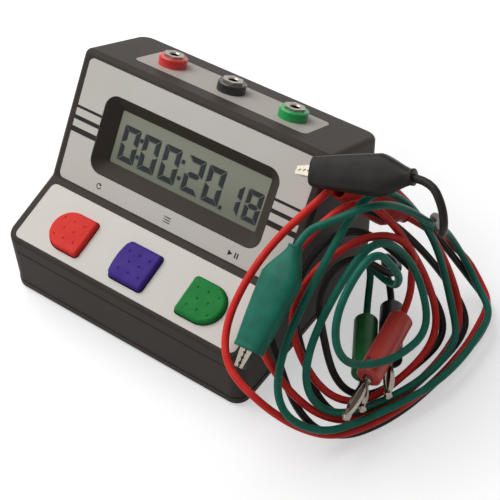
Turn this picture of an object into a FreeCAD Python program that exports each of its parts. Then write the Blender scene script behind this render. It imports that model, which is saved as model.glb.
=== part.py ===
import FreeCAD, Part
import math
import os
import Sketcher
from FreeCAD import Placement, Rotation, Vector

os.makedirs("parts", exist_ok=True)
document = FreeCAD.newDocument("BenchTimer")

# Driving dimensions, in millimetres and degrees
DRIVING = {
    "case_width": 120.0,
    "case_depth": 100.0,
    "wall": 2.5,
    "underside_height": 1.0,
    "seam_height": 5.0,
    "seam_gap": 0.25,
    "crest_height": 30.6,
    "keypad_slope": 17.0,
    "keypad_run": 31.9,
    "display_slope": 56.0,
    "display_run": 31.4,
    "top_slope": 24.6,
    "corner_radius": 6.0,
    "rim_radius": 2.2,
    "ridge_radius": 3.0,
    "valley_radius": 1.2,
    "front_groove_height": 23.5,
    "groove_radius": 0.7,
    "groove_depth": 0.35,
    "base_proud": 0.25,
    "base_floor": 2.6,
    "lip_height": 3.0,
    "lip_wall": 1.4,
    "slide_gap": 0.2,
    "label_thickness": 0.4,
    "label_corner": 2.5,
    "label_gap": 0.1,
    "keypad_label_margin": 4.0,
    "keypad_label_start": 1.9,
    "keypad_label_length": 28.4,
    "display_label_margin": 4.0,
    "display_label_start": 0.7,
    "display_label_length": 52.8,
    "socket_label_start": 9.9,
    "socket_label_length": 20.8,
    "socket_label_margin": 18.0,
    "window_width": 86.0,
    "window_start": 9.1,
    "window_length": 34.0,
    "window_corner": 6.0,
    "bezel_depth": 5.2,
    "view_width": 74.0,
    "view_length": 22.6,
    "view_corner": 0.8,
    "bezel_wall": 1.8,
    "lcd_width": 80.0,
    "lcd_length": 29.0,
    "lcd_thickness": 2.8,
    "lcd_gap": 0.15,
    "holder_wall": 2.0,
    "strip_length": 2.2,
    "strip_margin": 0.5,
    "board_thickness": 1.6,
    "display_board_margin": 7.0,
    "display_board_length": 47.0,
    "display_board_start": 3.0,
    "post_diameter": 5.0,
    "post_hole": 2.2,
    "post_edge": 3.2,
    "board_screw_diameter": 2.0,
    "board_screw_length": 6.0,
    "board_screw_head": 4.0,
    "board_screw_head_height": 1.4,
    "key_pitch": 34.6,
    "key_centre": 14.3,
    "key_length": 17.3,
    "key_width": 16.6,
    "key_bulge": 1.4,
    "key_straight": 9.6,
    "key_corner": 1.6,
    "key_proud": 2.6,
    "key_edge": 1.0,
    "key_gap": 0.35,
    "key_flange": 1.2,
    "key_flange_thickness": 1.0,
    "key_flange_gap": 0.3,
    "key_travel": 1.2,
    "dimple_diameter": 0.9,
    "dimple_depth": 0.35,
    "dimple_step": 5.1,
    "dimple_row": 4.2,
    "mat_thickness": 0.8,
    "dome_height": 2.1,
    "dome_base": 9.0,
    "dome_top": 5.5,
    "dome_wall": 0.7,
    "dome_gap": 0.3,
    "key_board_margin": 12.0,
    "key_board_length": 22.0,
    "key_board_start": 3.6,
    "socket_pitch": 29.8,
    "collar_diameter": 12.0,
    "collar_height": 4.0,
    "collar_chamfer": 0.5,
    "barrel_diameter": 8.0,
    "barrel_gap": 0.15,
    "barrel_length": 9.0,
    "insert_diameter": 6.0,
    "socket_bore": 4.0,
    "insert_length": 17.0,
    "bore_length": 15.0,
    "insert_flat": 8.0,
    "insert_flange": 0.9,
    "insert_gap": 0.05,
    "nut_flat": 10.0,
    "nut_thickness": 2.4,
    "tag_length": 14.0,
    "tag_width": 4.0,
    "tag_thickness": 0.6,
    "tag_clamp": 1.6,
    "boss_diameter": 6.6,
    "boss_inset": 8.0,
    "boss_seat": 2.0,
    "case_screw_diameter": 3.0,
    "case_screw_hole": 3.4,
    "case_screw_head": 5.6,
    "case_screw_head_height": 2.0,
    "case_screw_length": 12.0,
    "foot_diameter": 10.0,
    "foot_height": 1.6,
    "foot_inset_across": 17.0,
    "foot_inset_along": 16.0,
    "cell_diameter": 14.2,
    "cell_length": 49.5,
    "cell_cap_diameter": 5.4,
    "cell_cap": 1.0,
    "cell_gap": 0.4,
    "cell_bay_start": 4.0,
    "bay_wall": 1.6,
    "bay_end": 3.4,
    "contact_thickness": 0.5,
    "contact_width": 9.0,
    "contact_height": 10.0,
    "door_thickness": 1.5,
    "door_width": 62.0,
    "door_tongue": 1.3,
    "door_grip_width": 20.8,
    "door_grip_pitch": 2.6,
    "door_gap": 0.15,
    "door_start": 0.5,
    "chip_side": 12.0,
    "chip_thickness": 1.8,
    "chip_leg": 1.0,
    "crystal_length": 11.0,
    "crystal_width": 4.6,
    "crystal_height": 3.4,
    "wire_diameter": 1.3,
    "spring_wire": 0.6,
    "spring_turns": 3.0,
    "contact_gap": 0.1,
    "cord_diameter": 3.0,
    "clip_reach": 25.0,
    "clip_width": 5.0,
    "clip_wall": 0.6,
    "clip_tail": 15.0,
    "clip_spread": 5.0,
    "clip_depth": 3.4,
    "clip_nose": 1.5,
    "clip_mouth_gap": 0.1,
    "clip_mouth_back": 9.0,
    "clip_ear_top": 1.6,
    "clip_ear_front": 3.0,
    "clip_ear_back": 2.5,
    "clip_lever_back": 6.0,
    "clip_flange": 1.2,
    "clip_gap": 0.15,
    "clip_tooth": 2.0,
    "clip_tooth_depth": 0.55,
    "clip_tooth_start": 12.5,
    "clip_pin": 1.6,
    "clip_pin_gap": 0.08,
    "clip_pin_head": 2.6,
    "clip_pin_head_height": 0.4,
    "clip_wire": 0.45,
    "clip_wire_pitch": 0.6,
    "clip_arm": 12.0,
    "boot_wall": 0.8,
    "boot_cover": 18.0,
    "boot_front_width": 12.4,
    "boot_front_thickness": 9.2,
    "boot_shoulder": 15.2,
    "boot_shoulder_place": 13.0,
    "boot_thickness": 10.0,
    "boot_neck": 5.8,
    "boot_neck_length": 3.5,
    "boot_end": 23.0,
    "boot_cord_gap": 0.1,
    "boot_flat": 0.4,
    "plug_diameter": 10.0,
    "plug_length": 32.0,
    "plug_chamfer": 0.8,
    "plug_collar": 4.0,
    "plug_collar_length": 2.5,
    "plug_bore_depth": 9.0,
    "plug_stem": 12.0,
    "pin_length": 18.5,
    "pin_core": 1.6,
    "pin_leaf_width": 1.4,
    "pin_bulge": 2.25,
    "pin_tip": 3.4,
    "pin_tip_length": 2.4,
    "grub_diameter": 2.8,
    "grub_length": 2.6,
    "grub_place": 5.0,
    "grub_gap": 0.1,
}

sheet = document.addObject("Spreadsheet::Sheet", "Sizes")
for row, (alias, amount) in enumerate(DRIVING.items(), start=1):
    sheet.set(f"A{row}", alias)
    sheet.set(f"B{row}", str(amount))
    sheet.setAlias(f"B{row}", alias)
document.recompute()


class Size:
    # A length held as a number and as the sheet expression that gives the same number
    def __init__(self, number, text):
        self.number = float(number)
        self.text = text

    def __add__(self, other):
        other = as_size(other)
        return Size(self.number + other.number, f"({self.text} + {other.text})")

    def __sub__(self, other):
        other = as_size(other)
        return Size(self.number - other.number, f"({self.text} - {other.text})")

    def __mul__(self, factor):
        factor = as_size(factor)
        return Size(self.number * factor.number, f"({self.text} * {factor.text})")

    def __truediv__(self, divisor):
        divisor = as_size(divisor)
        return Size(self.number / divisor.number, f"({self.text} / {divisor.text})")

    def __neg__(self):
        return Size(-self.number, f"(0 - {self.text})")


def as_size(value):
    if isinstance(value, Size):
        return value
    return Size(value, repr(float(value)))


def size(alias):
    return Size(sheet.get(alias), f"Sizes.{alias}")


def number(alias):
    return size(alias).number


def tangent(alias):
    return Size(math.tan(math.radians(number(alias))), f"tan(Sizes.{alias})")


def cosine(alias):
    return Size(math.cos(math.radians(number(alias))), f"cos(Sizes.{alias})")


ZERO = as_size(0)
HALF = 0.5

# Side profile of the case: x right, y back, z up, the bench at zero
front_y = -size("case_depth") / 2
back_y = size("case_depth") / 2
valley_y = front_y + size("keypad_run")
valley_z = size("crest_height") + size("keypad_run") * tangent("keypad_slope")
ridge_y = valley_y + size("display_run")
ridge_z = valley_z + size("display_run") * tangent("display_slope")
back_z = ridge_z - (back_y - ridge_y) * tangent("top_slope")


def inclined(y, z, slope):
    return Placement(Vector(0, y.number, z.number), Rotation(Vector(1, 0, 0), slope))


# Frames that lie in the sloping faces, with local y up the slope or to the back, local z outwards
keypad_frame = inclined(front_y, size("crest_height"), number("keypad_slope"))
display_frame = inclined(valley_y, valley_z, number("display_slope"))
top_frame = inclined(ridge_y, ridge_z, -number("top_slope"))


def shifted(frame, x=0.0, y=0.0, z=0.0):
    return frame.multiply(Placement(Vector(x, y, z), Rotation()))


# Helpers for bodies, sketches and features
def new_body(label, frame=None):
    body = document.addObject("PartDesign::Body", label)
    body.Label = label
    if frame is not None:
        body.Placement = frame
    return body


def new_sketch(body, name, role="XY_Plane", frame=None, height=None):
    sketch = body.newObject("Sketcher::SketchObject", name)
    plane = next(item for item in body.Origin.OriginFeatures if item.Role == role)
    sketch.AttachmentSupport = (plane, [""])
    sketch.MapMode = "FlatFace"
    if frame is not None:
        sketch.AttachmentOffset = frame
    if height is not None:
        sketch.AttachmentOffset = Placement(Vector(0, 0, height.number), Rotation())
        sketch.setExpression("AttachmentOffset.Base.z", height.text)
    return sketch


def fix_point(sketch, element, vertex, across=None, up=None):
    for kind, length in (("DistanceX", across), ("DistanceY", up)):
        if length is None:
            continue
        if length.number < 0:
            length = -length
            ends = (element, vertex, -1, 1)
        else:
            ends = (-1, 1, element, vertex)
        index = sketch.addConstraint(Sketcher.Constraint(kind, *ends, length.number))
        sketch.setExpression(f"Constraints[{index}]", length.text)


def draw_outline(sketch, points, centres=None):
    # Closed outline, drawn counter-clockwise; centres names the runs that are arcs
    centres = centres or {}
    first = sketch.GeometryCount
    count = len(points)
    for index, point in enumerate(points):
        start = Vector(point[0].number, point[1].number, 0)
        after = points[(index + 1) % count]
        end = Vector(after[0].number, after[1].number, 0)
        if index in centres:
            middle = Vector(centres[index][0].number, centres[index][1].number, 0)
            circle = Part.Circle(middle, Vector(0, 0, 1), (start - middle).Length)
            start_angle = math.atan2(start.y - middle.y, start.x - middle.x)
            end_angle = math.atan2(end.y - middle.y, end.x - middle.x)
            if end_angle < start_angle:
                end_angle += 2 * math.pi
            sketch.addGeometry(Part.ArcOfCircle(circle, start_angle, end_angle), False)
        else:
            sketch.addGeometry(Part.LineSegment(start, end), False)
    for index, point in enumerate(points):
        element = first + index
        follower = first + (index + 1) % count
        sketch.addConstraint(Sketcher.Constraint("Coincident", element, 2, follower, 1))
        fix_point(sketch, element, 1, point[0], point[1])
    for index, centre in centres.items():
        after = points[(index + 1) % count]
        level = abs(after[1].number - points[index][1].number) < 1e-6
        if level:
            fix_point(sketch, first + index, 3, up=centre[1])
        else:
            fix_point(sketch, first + index, 3, across=centre[0])


def rectangle(sketch, left, right, low, high):
    draw_outline(sketch, [(left, low), (right, low), (right, high), (left, high)])


def rounded_rectangle(sketch, left, right, low, high, corner):
    points = [
        (left + corner, low), (right - corner, low),
        (right, low + corner), (right, high - corner),
        (right - corner, high), (left + corner, high),
        (left, high - corner), (left, low + corner),
    ]
    centres = {
        1: (right - corner, low + corner),
        3: (right - corner, high - corner),
        5: (left + corner, high - corner),
        7: (left + corner, low + corner),
    }
    draw_outline(sketch, points, centres)


def circle(sketch, x, y, diameter):
    middle = Vector(x.number, y.number, 0)
    element = sketch.addGeometry(Part.Circle(middle, Vector(0, 0, 1), diameter.number / 2), False)
    fix_point(sketch, element, 3, x, y)
    index = sketch.addConstraint(Sketcher.Constraint("Diameter", element, diameter.number))
    sketch.setExpression(f"Constraints[{index}]", diameter.text)


def extrude(body, kind, name, sketch, length, symmetric=False, reverse=False):
    feature = body.newObject(f"PartDesign::{kind}", name)
    feature.Profile = sketch
    feature.setExpression("Length", length.text)
    if symmetric:
        feature.SideType = "Symmetric"
    feature.Reversed = reverse
    sketch.Visibility = False
    document.recompute()
    return feature


def pad(body, name, sketch, length, **options):
    return extrude(body, "Pad", name, sketch, length, **options)


def pocket(body, name, sketch, length, **options):
    return extrude(body, "Pocket", name, sketch, length, **options)


def round_edges(body, name, base, radius, chosen):
    names = [f"Edge{i}" for i, edge in enumerate(base.Shape.Edges, start=1) if chosen(edge)]
    fillet = body.newObject("PartDesign::Fillet", name)
    fillet.Base = (base, names)
    fillet.setExpression("Radius", radius.text)
    document.recompute()
    return fillet


def polar_copies(body, name, original, count, role="Z_Axis"):
    pattern = body.newObject("PartDesign::PolarPattern", name)
    pattern.Originals = [original]
    axis = next(item for item in body.Origin.OriginFeatures if item.Role == role)
    pattern.Axis = (axis, [""])
    pattern.Angle = 360
    pattern.Occurrences = count
    body.Tip = pattern
    document.recompute()
    return pattern


def runs_along(edge, axis):
    ends = [vertex.Point for vertex in edge.Vertexes]
    if len(ends) < 2:
        return False
    direction = (ends[1] - ends[0]).normalize()
    return abs(direction.dot(axis)) > 0.999


def plain_group(label, shapes, frame=None):
    feature = document.addObject("Part::Feature", label)
    feature.Label = label
    feature.Shape = shapes[0] if len(shapes) == 1 else Part.makeCompound(shapes)
    if frame is not None:
        feature.Placement = frame.multiply(feature.Placement)
    return feature


AXIS_X = Vector(1, 0, 0)
AXIS_Y = Vector(0, 1, 0)
AXIS_Z = Vector(0, 0, 1)
nodes = []


# Upper case: a moulded shell with two label faces, a sloping top and a tapered display bezel
def side_outline(sketch, inset):
    # The profile seen from the side, moved inwards by the inset along each face
    lean_keypad = inset / cosine("keypad_slope")
    lean_display = inset / cosine("display_slope")
    lean_top = inset / cosine("top_slope")
    slope_gap = tangent("display_slope") - tangent("keypad_slope")
    slope_sum = tangent("display_slope") + tangent("top_slope")
    front = front_y + inset
    crest = size("crest_height") + inset * tangent("keypad_slope") - lean_keypad
    valley_across = valley_y + (lean_display - lean_keypad) / slope_gap
    valley_up = valley_z + (valley_across - valley_y) * tangent("keypad_slope") - lean_keypad
    ridge_across = ridge_y + (lean_display - lean_top) / slope_sum
    ridge_up = ridge_z - (ridge_across - ridge_y) * tangent("top_slope") - lean_top
    back = back_y - inset
    back_up = ridge_z - (back - ridge_y) * tangent("top_slope") - lean_top
    low = size("seam_height")
    draw_outline(sketch, [
        (front, low), (back, low), (back, back_up),
        (ridge_across, ridge_up), (valley_across, valley_up), (front, crest),
    ])


def make_case_top():
    body = new_body("case_top")
    half_width = number("case_width") / 2
    profile = new_sketch(body, "case_profile", "YZ_Plane")
    side_outline(profile, ZERO)
    block = pad(body, "case_block", profile, size("case_width"), symmetric=True)
    upright = round_edges(body, "case_corners", block, size("corner_radius"),
                          lambda edge: runs_along(edge, AXIS_Z))
    ridge = round_edges(body, "case_ridge", upright, size("ridge_radius"), lambda edge: (
        runs_along(edge, AXIS_X) and abs(edge.CenterOfMass.z - ridge_z.number) < 1))
    valley = round_edges(body, "case_valley", ridge, size("valley_radius"), lambda edge: (
        runs_along(edge, AXIS_X) and abs(edge.CenterOfMass.y - valley_y.number) < 1
        and abs(edge.CenterOfMass.z - valley_z.number) < 1))

    def on_top_rim(edge):
        middle = edge.CenterOfMass
        if runs_along(edge, AXIS_X):
            front_edge = abs(middle.y - front_y.number) < 1
            back_edge = abs(middle.y - back_y.number) < 1
            return (front_edge or back_edge) and middle.z > number("seam_height") + 1
        return abs(abs(middle.x) - half_width) < 0.1 and middle.z > number("crest_height") - 1

    rims = round_edges(body, "case_rims", valley, size("rim_radius"), on_top_rim)

    groove_frame = Placement(Vector(0, number("front_groove_height"), 0), Rotation())
    groove = new_sketch(body, "groove_section", "YZ_Plane", frame=groove_frame)
    circle(groove, front_y - size("groove_radius") + size("groove_depth"), ZERO,
           size("groove_radius") * 2)
    groove_cut = pocket(body, "front_groove", groove,
                        size("case_width") - size("corner_radius") * 2, symmetric=True)

    hollow = new_sketch(body, "hollow_profile", "YZ_Plane")
    side_outline(hollow, size("wall"))
    pocket(body, "case_hollow", hollow, size("case_width") - size("wall") * 2, symmetric=True)
    add_bezel(body)
    add_bosses(body)
    add_posts(body, "display_posts", display_frame, display_posts, display_board_depth)
    add_posts(body, "key_posts", keypad_frame, key_posts, key_board_depth)
    cut_faces(body)
    return body


def centred(width):
    return -width / 2, width / 2


display_board_width = size("case_width") - size("display_board_margin") * 2
key_board_width = size("case_width") - size("key_board_margin") * 2
window_low = size("window_start")
window_high = window_low + size("window_length")
window_middle = window_low + size("window_length") / 2
display_board_depth = (size("bezel_depth") + size("lcd_gap") + size("lcd_thickness")
                       + size("strip_length"))
key_floor_depth = size("wall") + size("key_flange_gap") + size("key_flange_thickness")
key_board_depth = key_floor_depth + size("dome_gap") + size("dome_height") + size("mat_thickness")


def four_places(across, low, high):
    return [(-across, low), (across, low), (-across, high), (across, high)]


display_posts = four_places(
    display_board_width / 2 - size("post_edge"),
    size("display_board_start") + size("post_edge"),
    size("display_board_start") + size("display_board_length") - size("post_edge"))
key_posts = four_places(
    size("key_pitch") / 2,
    size("key_board_start") + size("post_edge"),
    size("key_board_start") + size("key_board_length") - size("post_edge"))
boss_across = size("case_width") / 2 - size("boss_inset")
boss_along = size("case_depth") / 2 - size("boss_inset")
boss_places = four_places(boss_across, -boss_along, boss_along)
boss_low = size("underside_height") + size("base_floor") + size("boss_seat")


def add_bezel(body):
    # The bezel block hangs from the display face and is opened by a tapered funnel
    block = new_sketch(body, "bezel_outline",
                       frame=shifted(display_frame, z=-number("wall") * HALF))
    left, right = centred(size("window_width") + size("bezel_wall") * 2)
    rounded_rectangle(block, left, right, window_low - size("bezel_wall"),
                      window_high + size("bezel_wall"), size("window_corner"))
    pad(body, "bezel_block", block, size("bezel_depth") - size("wall") / 2, reverse=True)
    mouth = new_sketch(body, "bezel_mouth", frame=display_frame)
    left, right = centred(size("window_width"))
    rounded_rectangle(mouth, left, right, window_low, window_high, size("window_corner"))
    view = new_sketch(body, "bezel_view", frame=shifted(display_frame, z=-number("bezel_depth")))
    left, right = centred(size("view_width"))
    rounded_rectangle(view, left, right, window_middle - size("view_length") / 2,
                      window_middle + size("view_length") / 2, size("view_corner"))
    funnel = body.newObject("PartDesign::SubtractiveLoft", "bezel_funnel")
    funnel.Profile = mouth
    funnel.Sections = [view]
    funnel.Ruled = True
    document.recompute()


def add_bosses(body):
    # Screw bosses reach from the base to the middle of the wall above them
    roof_slopes = (("front", -boss_along, size("crest_height")
                    + (size("case_depth") / 2 - boss_along) * tangent("keypad_slope")),
                   ("back", boss_along, ridge_z
                    - (boss_along - ridge_y) * tangent("top_slope")))
    for name, along, roof in roof_slopes:
        low = boss_low + size("slide_gap")
        section = new_sketch(body, f"boss_section_{name}", height=low)
        bore = new_sketch(body, f"boss_bore_{name}", height=low)
        for across in (-boss_across, boss_across):
            circle(section, across, along, size("boss_diameter"))
            circle(bore, across, along, size("case_screw_hole") - size("slide_gap"))
        pad(body, f"bosses_{name}", section, roof - size("wall") * 0.9 - low)
        pocket(body, f"boss_holes_{name}", bore, size("case_screw_length"), reverse=True)


def add_posts(body, name, frame, places, depth):
    section = new_sketch(body, f"{name}_section", frame=shifted(frame, z=-number("wall") * HALF))
    bore = new_sketch(body, f"{name}_bore", frame=shifted(frame, z=-depth.number))
    for across, up in places:
        circle(section, across, up, size("post_diameter"))
        circle(bore, across, up, size("post_hole"))
    pad(body, name, section, depth - size("wall") / 2, reverse=True)
    pocket(body, f"{name}_holes", bore, size("board_screw_length") - size("board_thickness"),
           reverse=True)


key_low = size("key_centre") - size("key_length") / 2
key_high = size("key_centre") + size("key_length") / 2


def key_outline(sketch, which, grow):
    # Outline of one key cap, moved outwards by grow
    low = key_low - grow
    high = key_high + grow
    corner = size("key_corner") + grow
    if which == "red":
        middle = -size("key_pitch")
        right = middle + size("key_straight") + grow
        draw_outline(sketch, [
            (middle, low), (right - corner, low), (right, low + corner),
            (right, high - corner), (right - corner, high), (middle, high),
        ], {
            1: (right - corner, low + corner),
            3: (right - corner, high - corner),
            5: (middle, size("key_centre")),
        })
    elif which == "green":
        middle = size("key_pitch")
        left = middle - size("key_straight") - grow
        draw_outline(sketch, [
            (left + corner, low), (middle, low), (middle, high),
            (left + corner, high), (left, high - corner), (left, low + corner),
        ], {
            1: (middle, size("key_centre")),
            3: (left + corner, high - corner),
            5: (left + corner, low + corner),
        })
    else:
        left = -size("key_width") / 2 - grow
        right = size("key_width") / 2 + grow
        chord = (high - low) / 2 - corner
        bulge = size("key_bulge")
        bow = (chord * chord + bulge * bulge) / (bulge * 2)
        draw_outline(sketch, [
            (left + corner, low), (right - corner, low), (right, low + corner),
            (right, high - corner), (right - corner, high), (left + corner, high),
            (left, high - corner), (left, low + corner),
        ], {
            1: (right - corner, low + corner),
            3: (right - corner, high - corner),
            5: (left + corner, high - corner),
            6: (left + bow - bulge, size("key_centre")),
            7: (left + corner, low + corner),
        })


KEYS = ("red", "blue", "green")
LABELS = (("keypad", keypad_frame), ("display", display_frame), ("socket", top_frame))


def label_outline(sketch, name, grow):
    # Each label keeps its margin to the sides of the case
    half = size("case_width") / 2 - size(f"{name}_label_margin") + grow
    start = size(f"{name}_label_start")
    rounded_rectangle(sketch, -half, half, start - grow,
                      start + size(f"{name}_label_length") + grow, size("label_corner") + grow)


socket_place = size("socket_label_start") + size("socket_label_length") / 2
socket_places = [(size("socket_pitch") * step, socket_place) for step in (-1, 0, 1)]


def cut_faces(body):
    # Shallow beds for the three labels, and the holes for the keys and the sockets
    for name, frame in LABELS:
        bed = new_sketch(body, f"{name}_label_bed", frame=frame)
        label_outline(bed, name, size("label_gap"))
        pocket(body, f"{name}_bed", bed, size("label_thickness"))
    for which in KEYS:
        hole = new_sketch(body, f"key_hole_{which}", frame=keypad_frame)
        key_outline(hole, which, size("key_gap"))
        pocket(body, f"key_opening_{which}", hole, size("wall") * 2)
    barrels = new_sketch(body, "socket_hole_section", frame=top_frame)
    for across, up in socket_places:
        circle(barrels, across, up, size("barrel_diameter"))
    pocket(body, "socket_holes", barrels, size("wall") * 2)


case_top = make_case_top()
nodes.append(case_top)


# Base: a tray with a lip inside the case walls, a battery bay and a slot for the sliding door
base_half_width = size("case_width") / 2 + size("base_proud")
base_half_depth = size("case_depth") / 2 + size("base_proud")
floor_top = size("underside_height") + size("base_floor")
bay_half = size("cell_length") / 2 + size("bay_end")
bay_low = size("cell_bay_start")
bay_high = bay_low + size("cell_diameter") * 2 + size("cell_gap") * 3
door_top = size("underside_height") + size("door_thickness")
cell_height = door_top + size("cell_gap") + size("cell_diameter") / 2
bay_roof = cell_height + size("cell_diameter") / 2 + size("cell_gap")
door_slot_top = door_top + size("door_gap")
tongue_low = size("underside_height") + size("door_thickness") / 2
door_end = back_y


def make_case_base():
    body = new_body("case_base")
    block = new_sketch(body, "base_outline", height=size("underside_height"))
    rounded_rectangle(block, -base_half_width, base_half_width, -base_half_depth,
                      base_half_depth, size("corner_radius") + size("base_proud"))
    tray = pad(body, "base_block", block,
               size("seam_height") - size("seam_gap") - size("underside_height"))
    under = size("underside_height").number
    rounded = round_edges(body, "base_edge", tray, size("underside_height"), lambda edge: (
        abs(edge.BoundBox.ZMax - under) < 1e-3 and abs(edge.BoundBox.ZMin - under) < 1e-3))
    lip_half_width = size("case_width") / 2 - size("wall") - size("slide_gap")
    lip_half_depth = size("case_depth") / 2 - size("wall") - size("slide_gap")
    lip = new_sketch(body, "lip_outline", height=floor_top)
    rounded_rectangle(lip, -lip_half_width, lip_half_width, -lip_half_depth, lip_half_depth,
                      size("lip_wall"))
    pad(body, "base_lip", lip, size("seam_height") + size("lip_height") - floor_top)
    inside = new_sketch(body, "tray_outline", height=floor_top)
    rounded_rectangle(inside, -lip_half_width + size("lip_wall"),
                      lip_half_width - size("lip_wall"), -lip_half_depth + size("lip_wall"),
                      lip_half_depth - size("lip_wall"), size("lip_wall"))
    pocket(body, "base_tray", inside, size("seam_height") + size("lip_height"), reverse=True)

    pillars = new_sketch(body, "pillar_section", height=floor_top)
    holes = new_sketch(body, "screw_hole_section", height=ZERO)
    heads = new_sketch(body, "screw_head_section", height=ZERO)
    for across, along in boss_places:
        circle(pillars, across, along, size("boss_diameter"))
        circle(holes, across, along, size("case_screw_hole"))
        circle(heads, across, along, size("case_screw_head") + size("slide_gap") * 2)
    pad(body, "screw_pillars", pillars, size("boss_seat"))
    bay = new_sketch(body, "bay_outline", height=floor_top)
    rounded_rectangle(bay, -bay_half - size("bay_wall"), bay_half + size("bay_wall"),
                      bay_low - size("bay_wall"), bay_high + size("bay_wall"), size("bay_wall"))
    pad(body, "bay_block", bay, bay_roof + size("bay_wall") - floor_top)
    pocket(body, "screw_holes", holes, boss_low * 2, reverse=True)
    pocket(body, "screw_heads", heads,
           size("underside_height") + size("case_screw_head_height") + size("slide_gap"),
           reverse=True)
    room = new_sketch(body, "bay_room", height=ZERO)
    rectangle(room, -bay_half, bay_half, bay_low, bay_high)
    pocket(body, "battery_bay", room, bay_roof, reverse=True)
    slots = (
        ("door_slot", size("door_width") / 2 + size("door_gap"), ZERO,
         door_slot_top),
        ("tongue_slot", size("door_width") / 2 + size("door_tongue") + size("door_gap"),
         tongue_low - size("door_gap"), door_slot_top),
    )
    for name, half, low, high in slots:
        opening = new_sketch(body, f"{name}_outline", height=low)
        rectangle(opening, -half, half, size("door_start"), base_half_depth * 2)
        pocket(body, name, opening, high - low, reverse=True)
    feet = new_sketch(body, "foot_bed_section", height=ZERO)
    for across, along in foot_places:
        circle(feet, across, along, size("foot_diameter") + size("slide_gap"))
    pocket(body, "foot_beds", feet, size("foot_height"), reverse=True)
    return body


foot_places = four_places(
    size("case_width") / 2 - size("foot_inset_across"),
    -(size("case_depth") / 2 - size("foot_inset_along")),
    size("case_depth") / 2 - size("foot_inset_along"))
nodes.append(make_case_base())


def make_battery_door():
    # The door slides in the base's slot on two tongues and carries finger ridges
    body = new_body("battery_door")
    start = size("door_start") + size("door_gap")
    half = size("door_width") / 2
    cover = new_sketch(body, "door_outline", height=size("underside_height"))
    rectangle(cover, -half, half, start, door_end)
    pad(body, "door_plate", cover, size("door_thickness"))
    tongue = new_sketch(body, "tongue_outline", height=tongue_low)
    rectangle(tongue, -half - size("door_tongue"), half + size("door_tongue"), start, door_end)
    pad(body, "door_tongues", tongue, size("door_thickness") / 2)
    ridge = new_sketch(body, "grip_outline", height=size("underside_height"))
    left, right = centred(size("door_grip_width"))
    pitch = size("door_grip_pitch")
    for step in range(4):
        low = door_end - pitch * (step + 1.5)
        rectangle(ridge, left, right, low, low + pitch / 2)
    pocket(body, "door_grip", ridge, size("door_gap") * 2, reverse=True)
    return body


nodes.append(make_battery_door())


def cylinder(x, y, z, radius, height, axis=AXIS_Z):
    return Part.makeCylinder(radius, height, Vector(x, y, z), axis)


def hexagon_prism(x, y, z, flat, height):
    corner = flat / math.sqrt(3)
    points = [Vector(x + corner * math.cos(math.radians(60 * step)),
                     y + corner * math.sin(math.radians(60 * step)), z) for step in range(7)]
    return Part.Face(Part.makePolygon(points)).extrude(Vector(0, 0, height))


def make_feet():
    shapes = []
    edge = number("foot_height") / 5
    for across, along in foot_places:
        foot = cylinder(across.number, along.number, 0, number("foot_diameter") / 2,
                        number("foot_height"))
        rim = [side for side in foot.Edges if side.CenterOfMass.z < edge and side.Closed]
        shapes.append(foot.makeFillet(edge, rim))
    return plain_group("rubber_feet", shapes)


nodes.append(make_feet())


def pan_screw(x, y, z, diameter, length, head, head_height, up=1):
    # A screw whose head's underside lies at z, its shank running upwards or downwards
    direction = Vector(0, 0, up)
    head_base = Vector(x, y, z) - direction * head_height
    top = Part.makeCylinder(head / 2, head_height, head_base, direction)
    outer = [edge for edge in top.Edges
             if edge.Closed and abs((edge.CenterOfMass - head_base).dot(direction)) < 1e-6]
    top = top.makeFillet(head_height / 3, outer)
    drive = Part.makeCylinder(head / 5, head_height / 2, head_base, direction)
    shank = Part.makeCylinder(diameter / 2, length, Vector(x, y, z), direction)
    return top.cut(drive).fuse(shank).removeSplitter()


def make_case_screws():
    seat = number("underside_height") + number("case_screw_head_height") + number("slide_gap")
    shapes = [pan_screw(across.number, along.number, seat, number("case_screw_diameter"),
                        number("case_screw_length"), number("case_screw_head"),
                        number("case_screw_head_height")) for across, along in boss_places]
    return plain_group("case_screws", shapes)


nodes.append(make_case_screws())


# Labels: printed sheets that lie flush in their beds
def make_label(name, frame):
    body = new_body(f"{name}_label", frame)
    outline = new_sketch(body, f"{name}_label_outline", height=-size("label_thickness"))
    label_outline(outline, name, ZERO)
    pad(body, f"{name}_sheet", outline, size("label_thickness"))
    hole = new_sketch(body, f"{name}_label_hole", height=ZERO)
    if name == "display":
        left, right = centred(size("window_width"))
        rounded_rectangle(hole, left, right, window_low, window_high, size("window_corner"))
    elif name == "keypad":
        for which in KEYS:
            key_outline(hole, which, size("key_gap") + size("label_gap"))
    else:
        for across, up in socket_places:
            circle(hole, across, up, size("barrel_diameter") + size("label_gap") * 2)
    pocket(body, f"{name}_openings", hole, size("label_thickness") * 2)
    return body


for label_name, label_frame in LABELS:
    nodes.append(make_label(label_name, label_frame))


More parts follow.
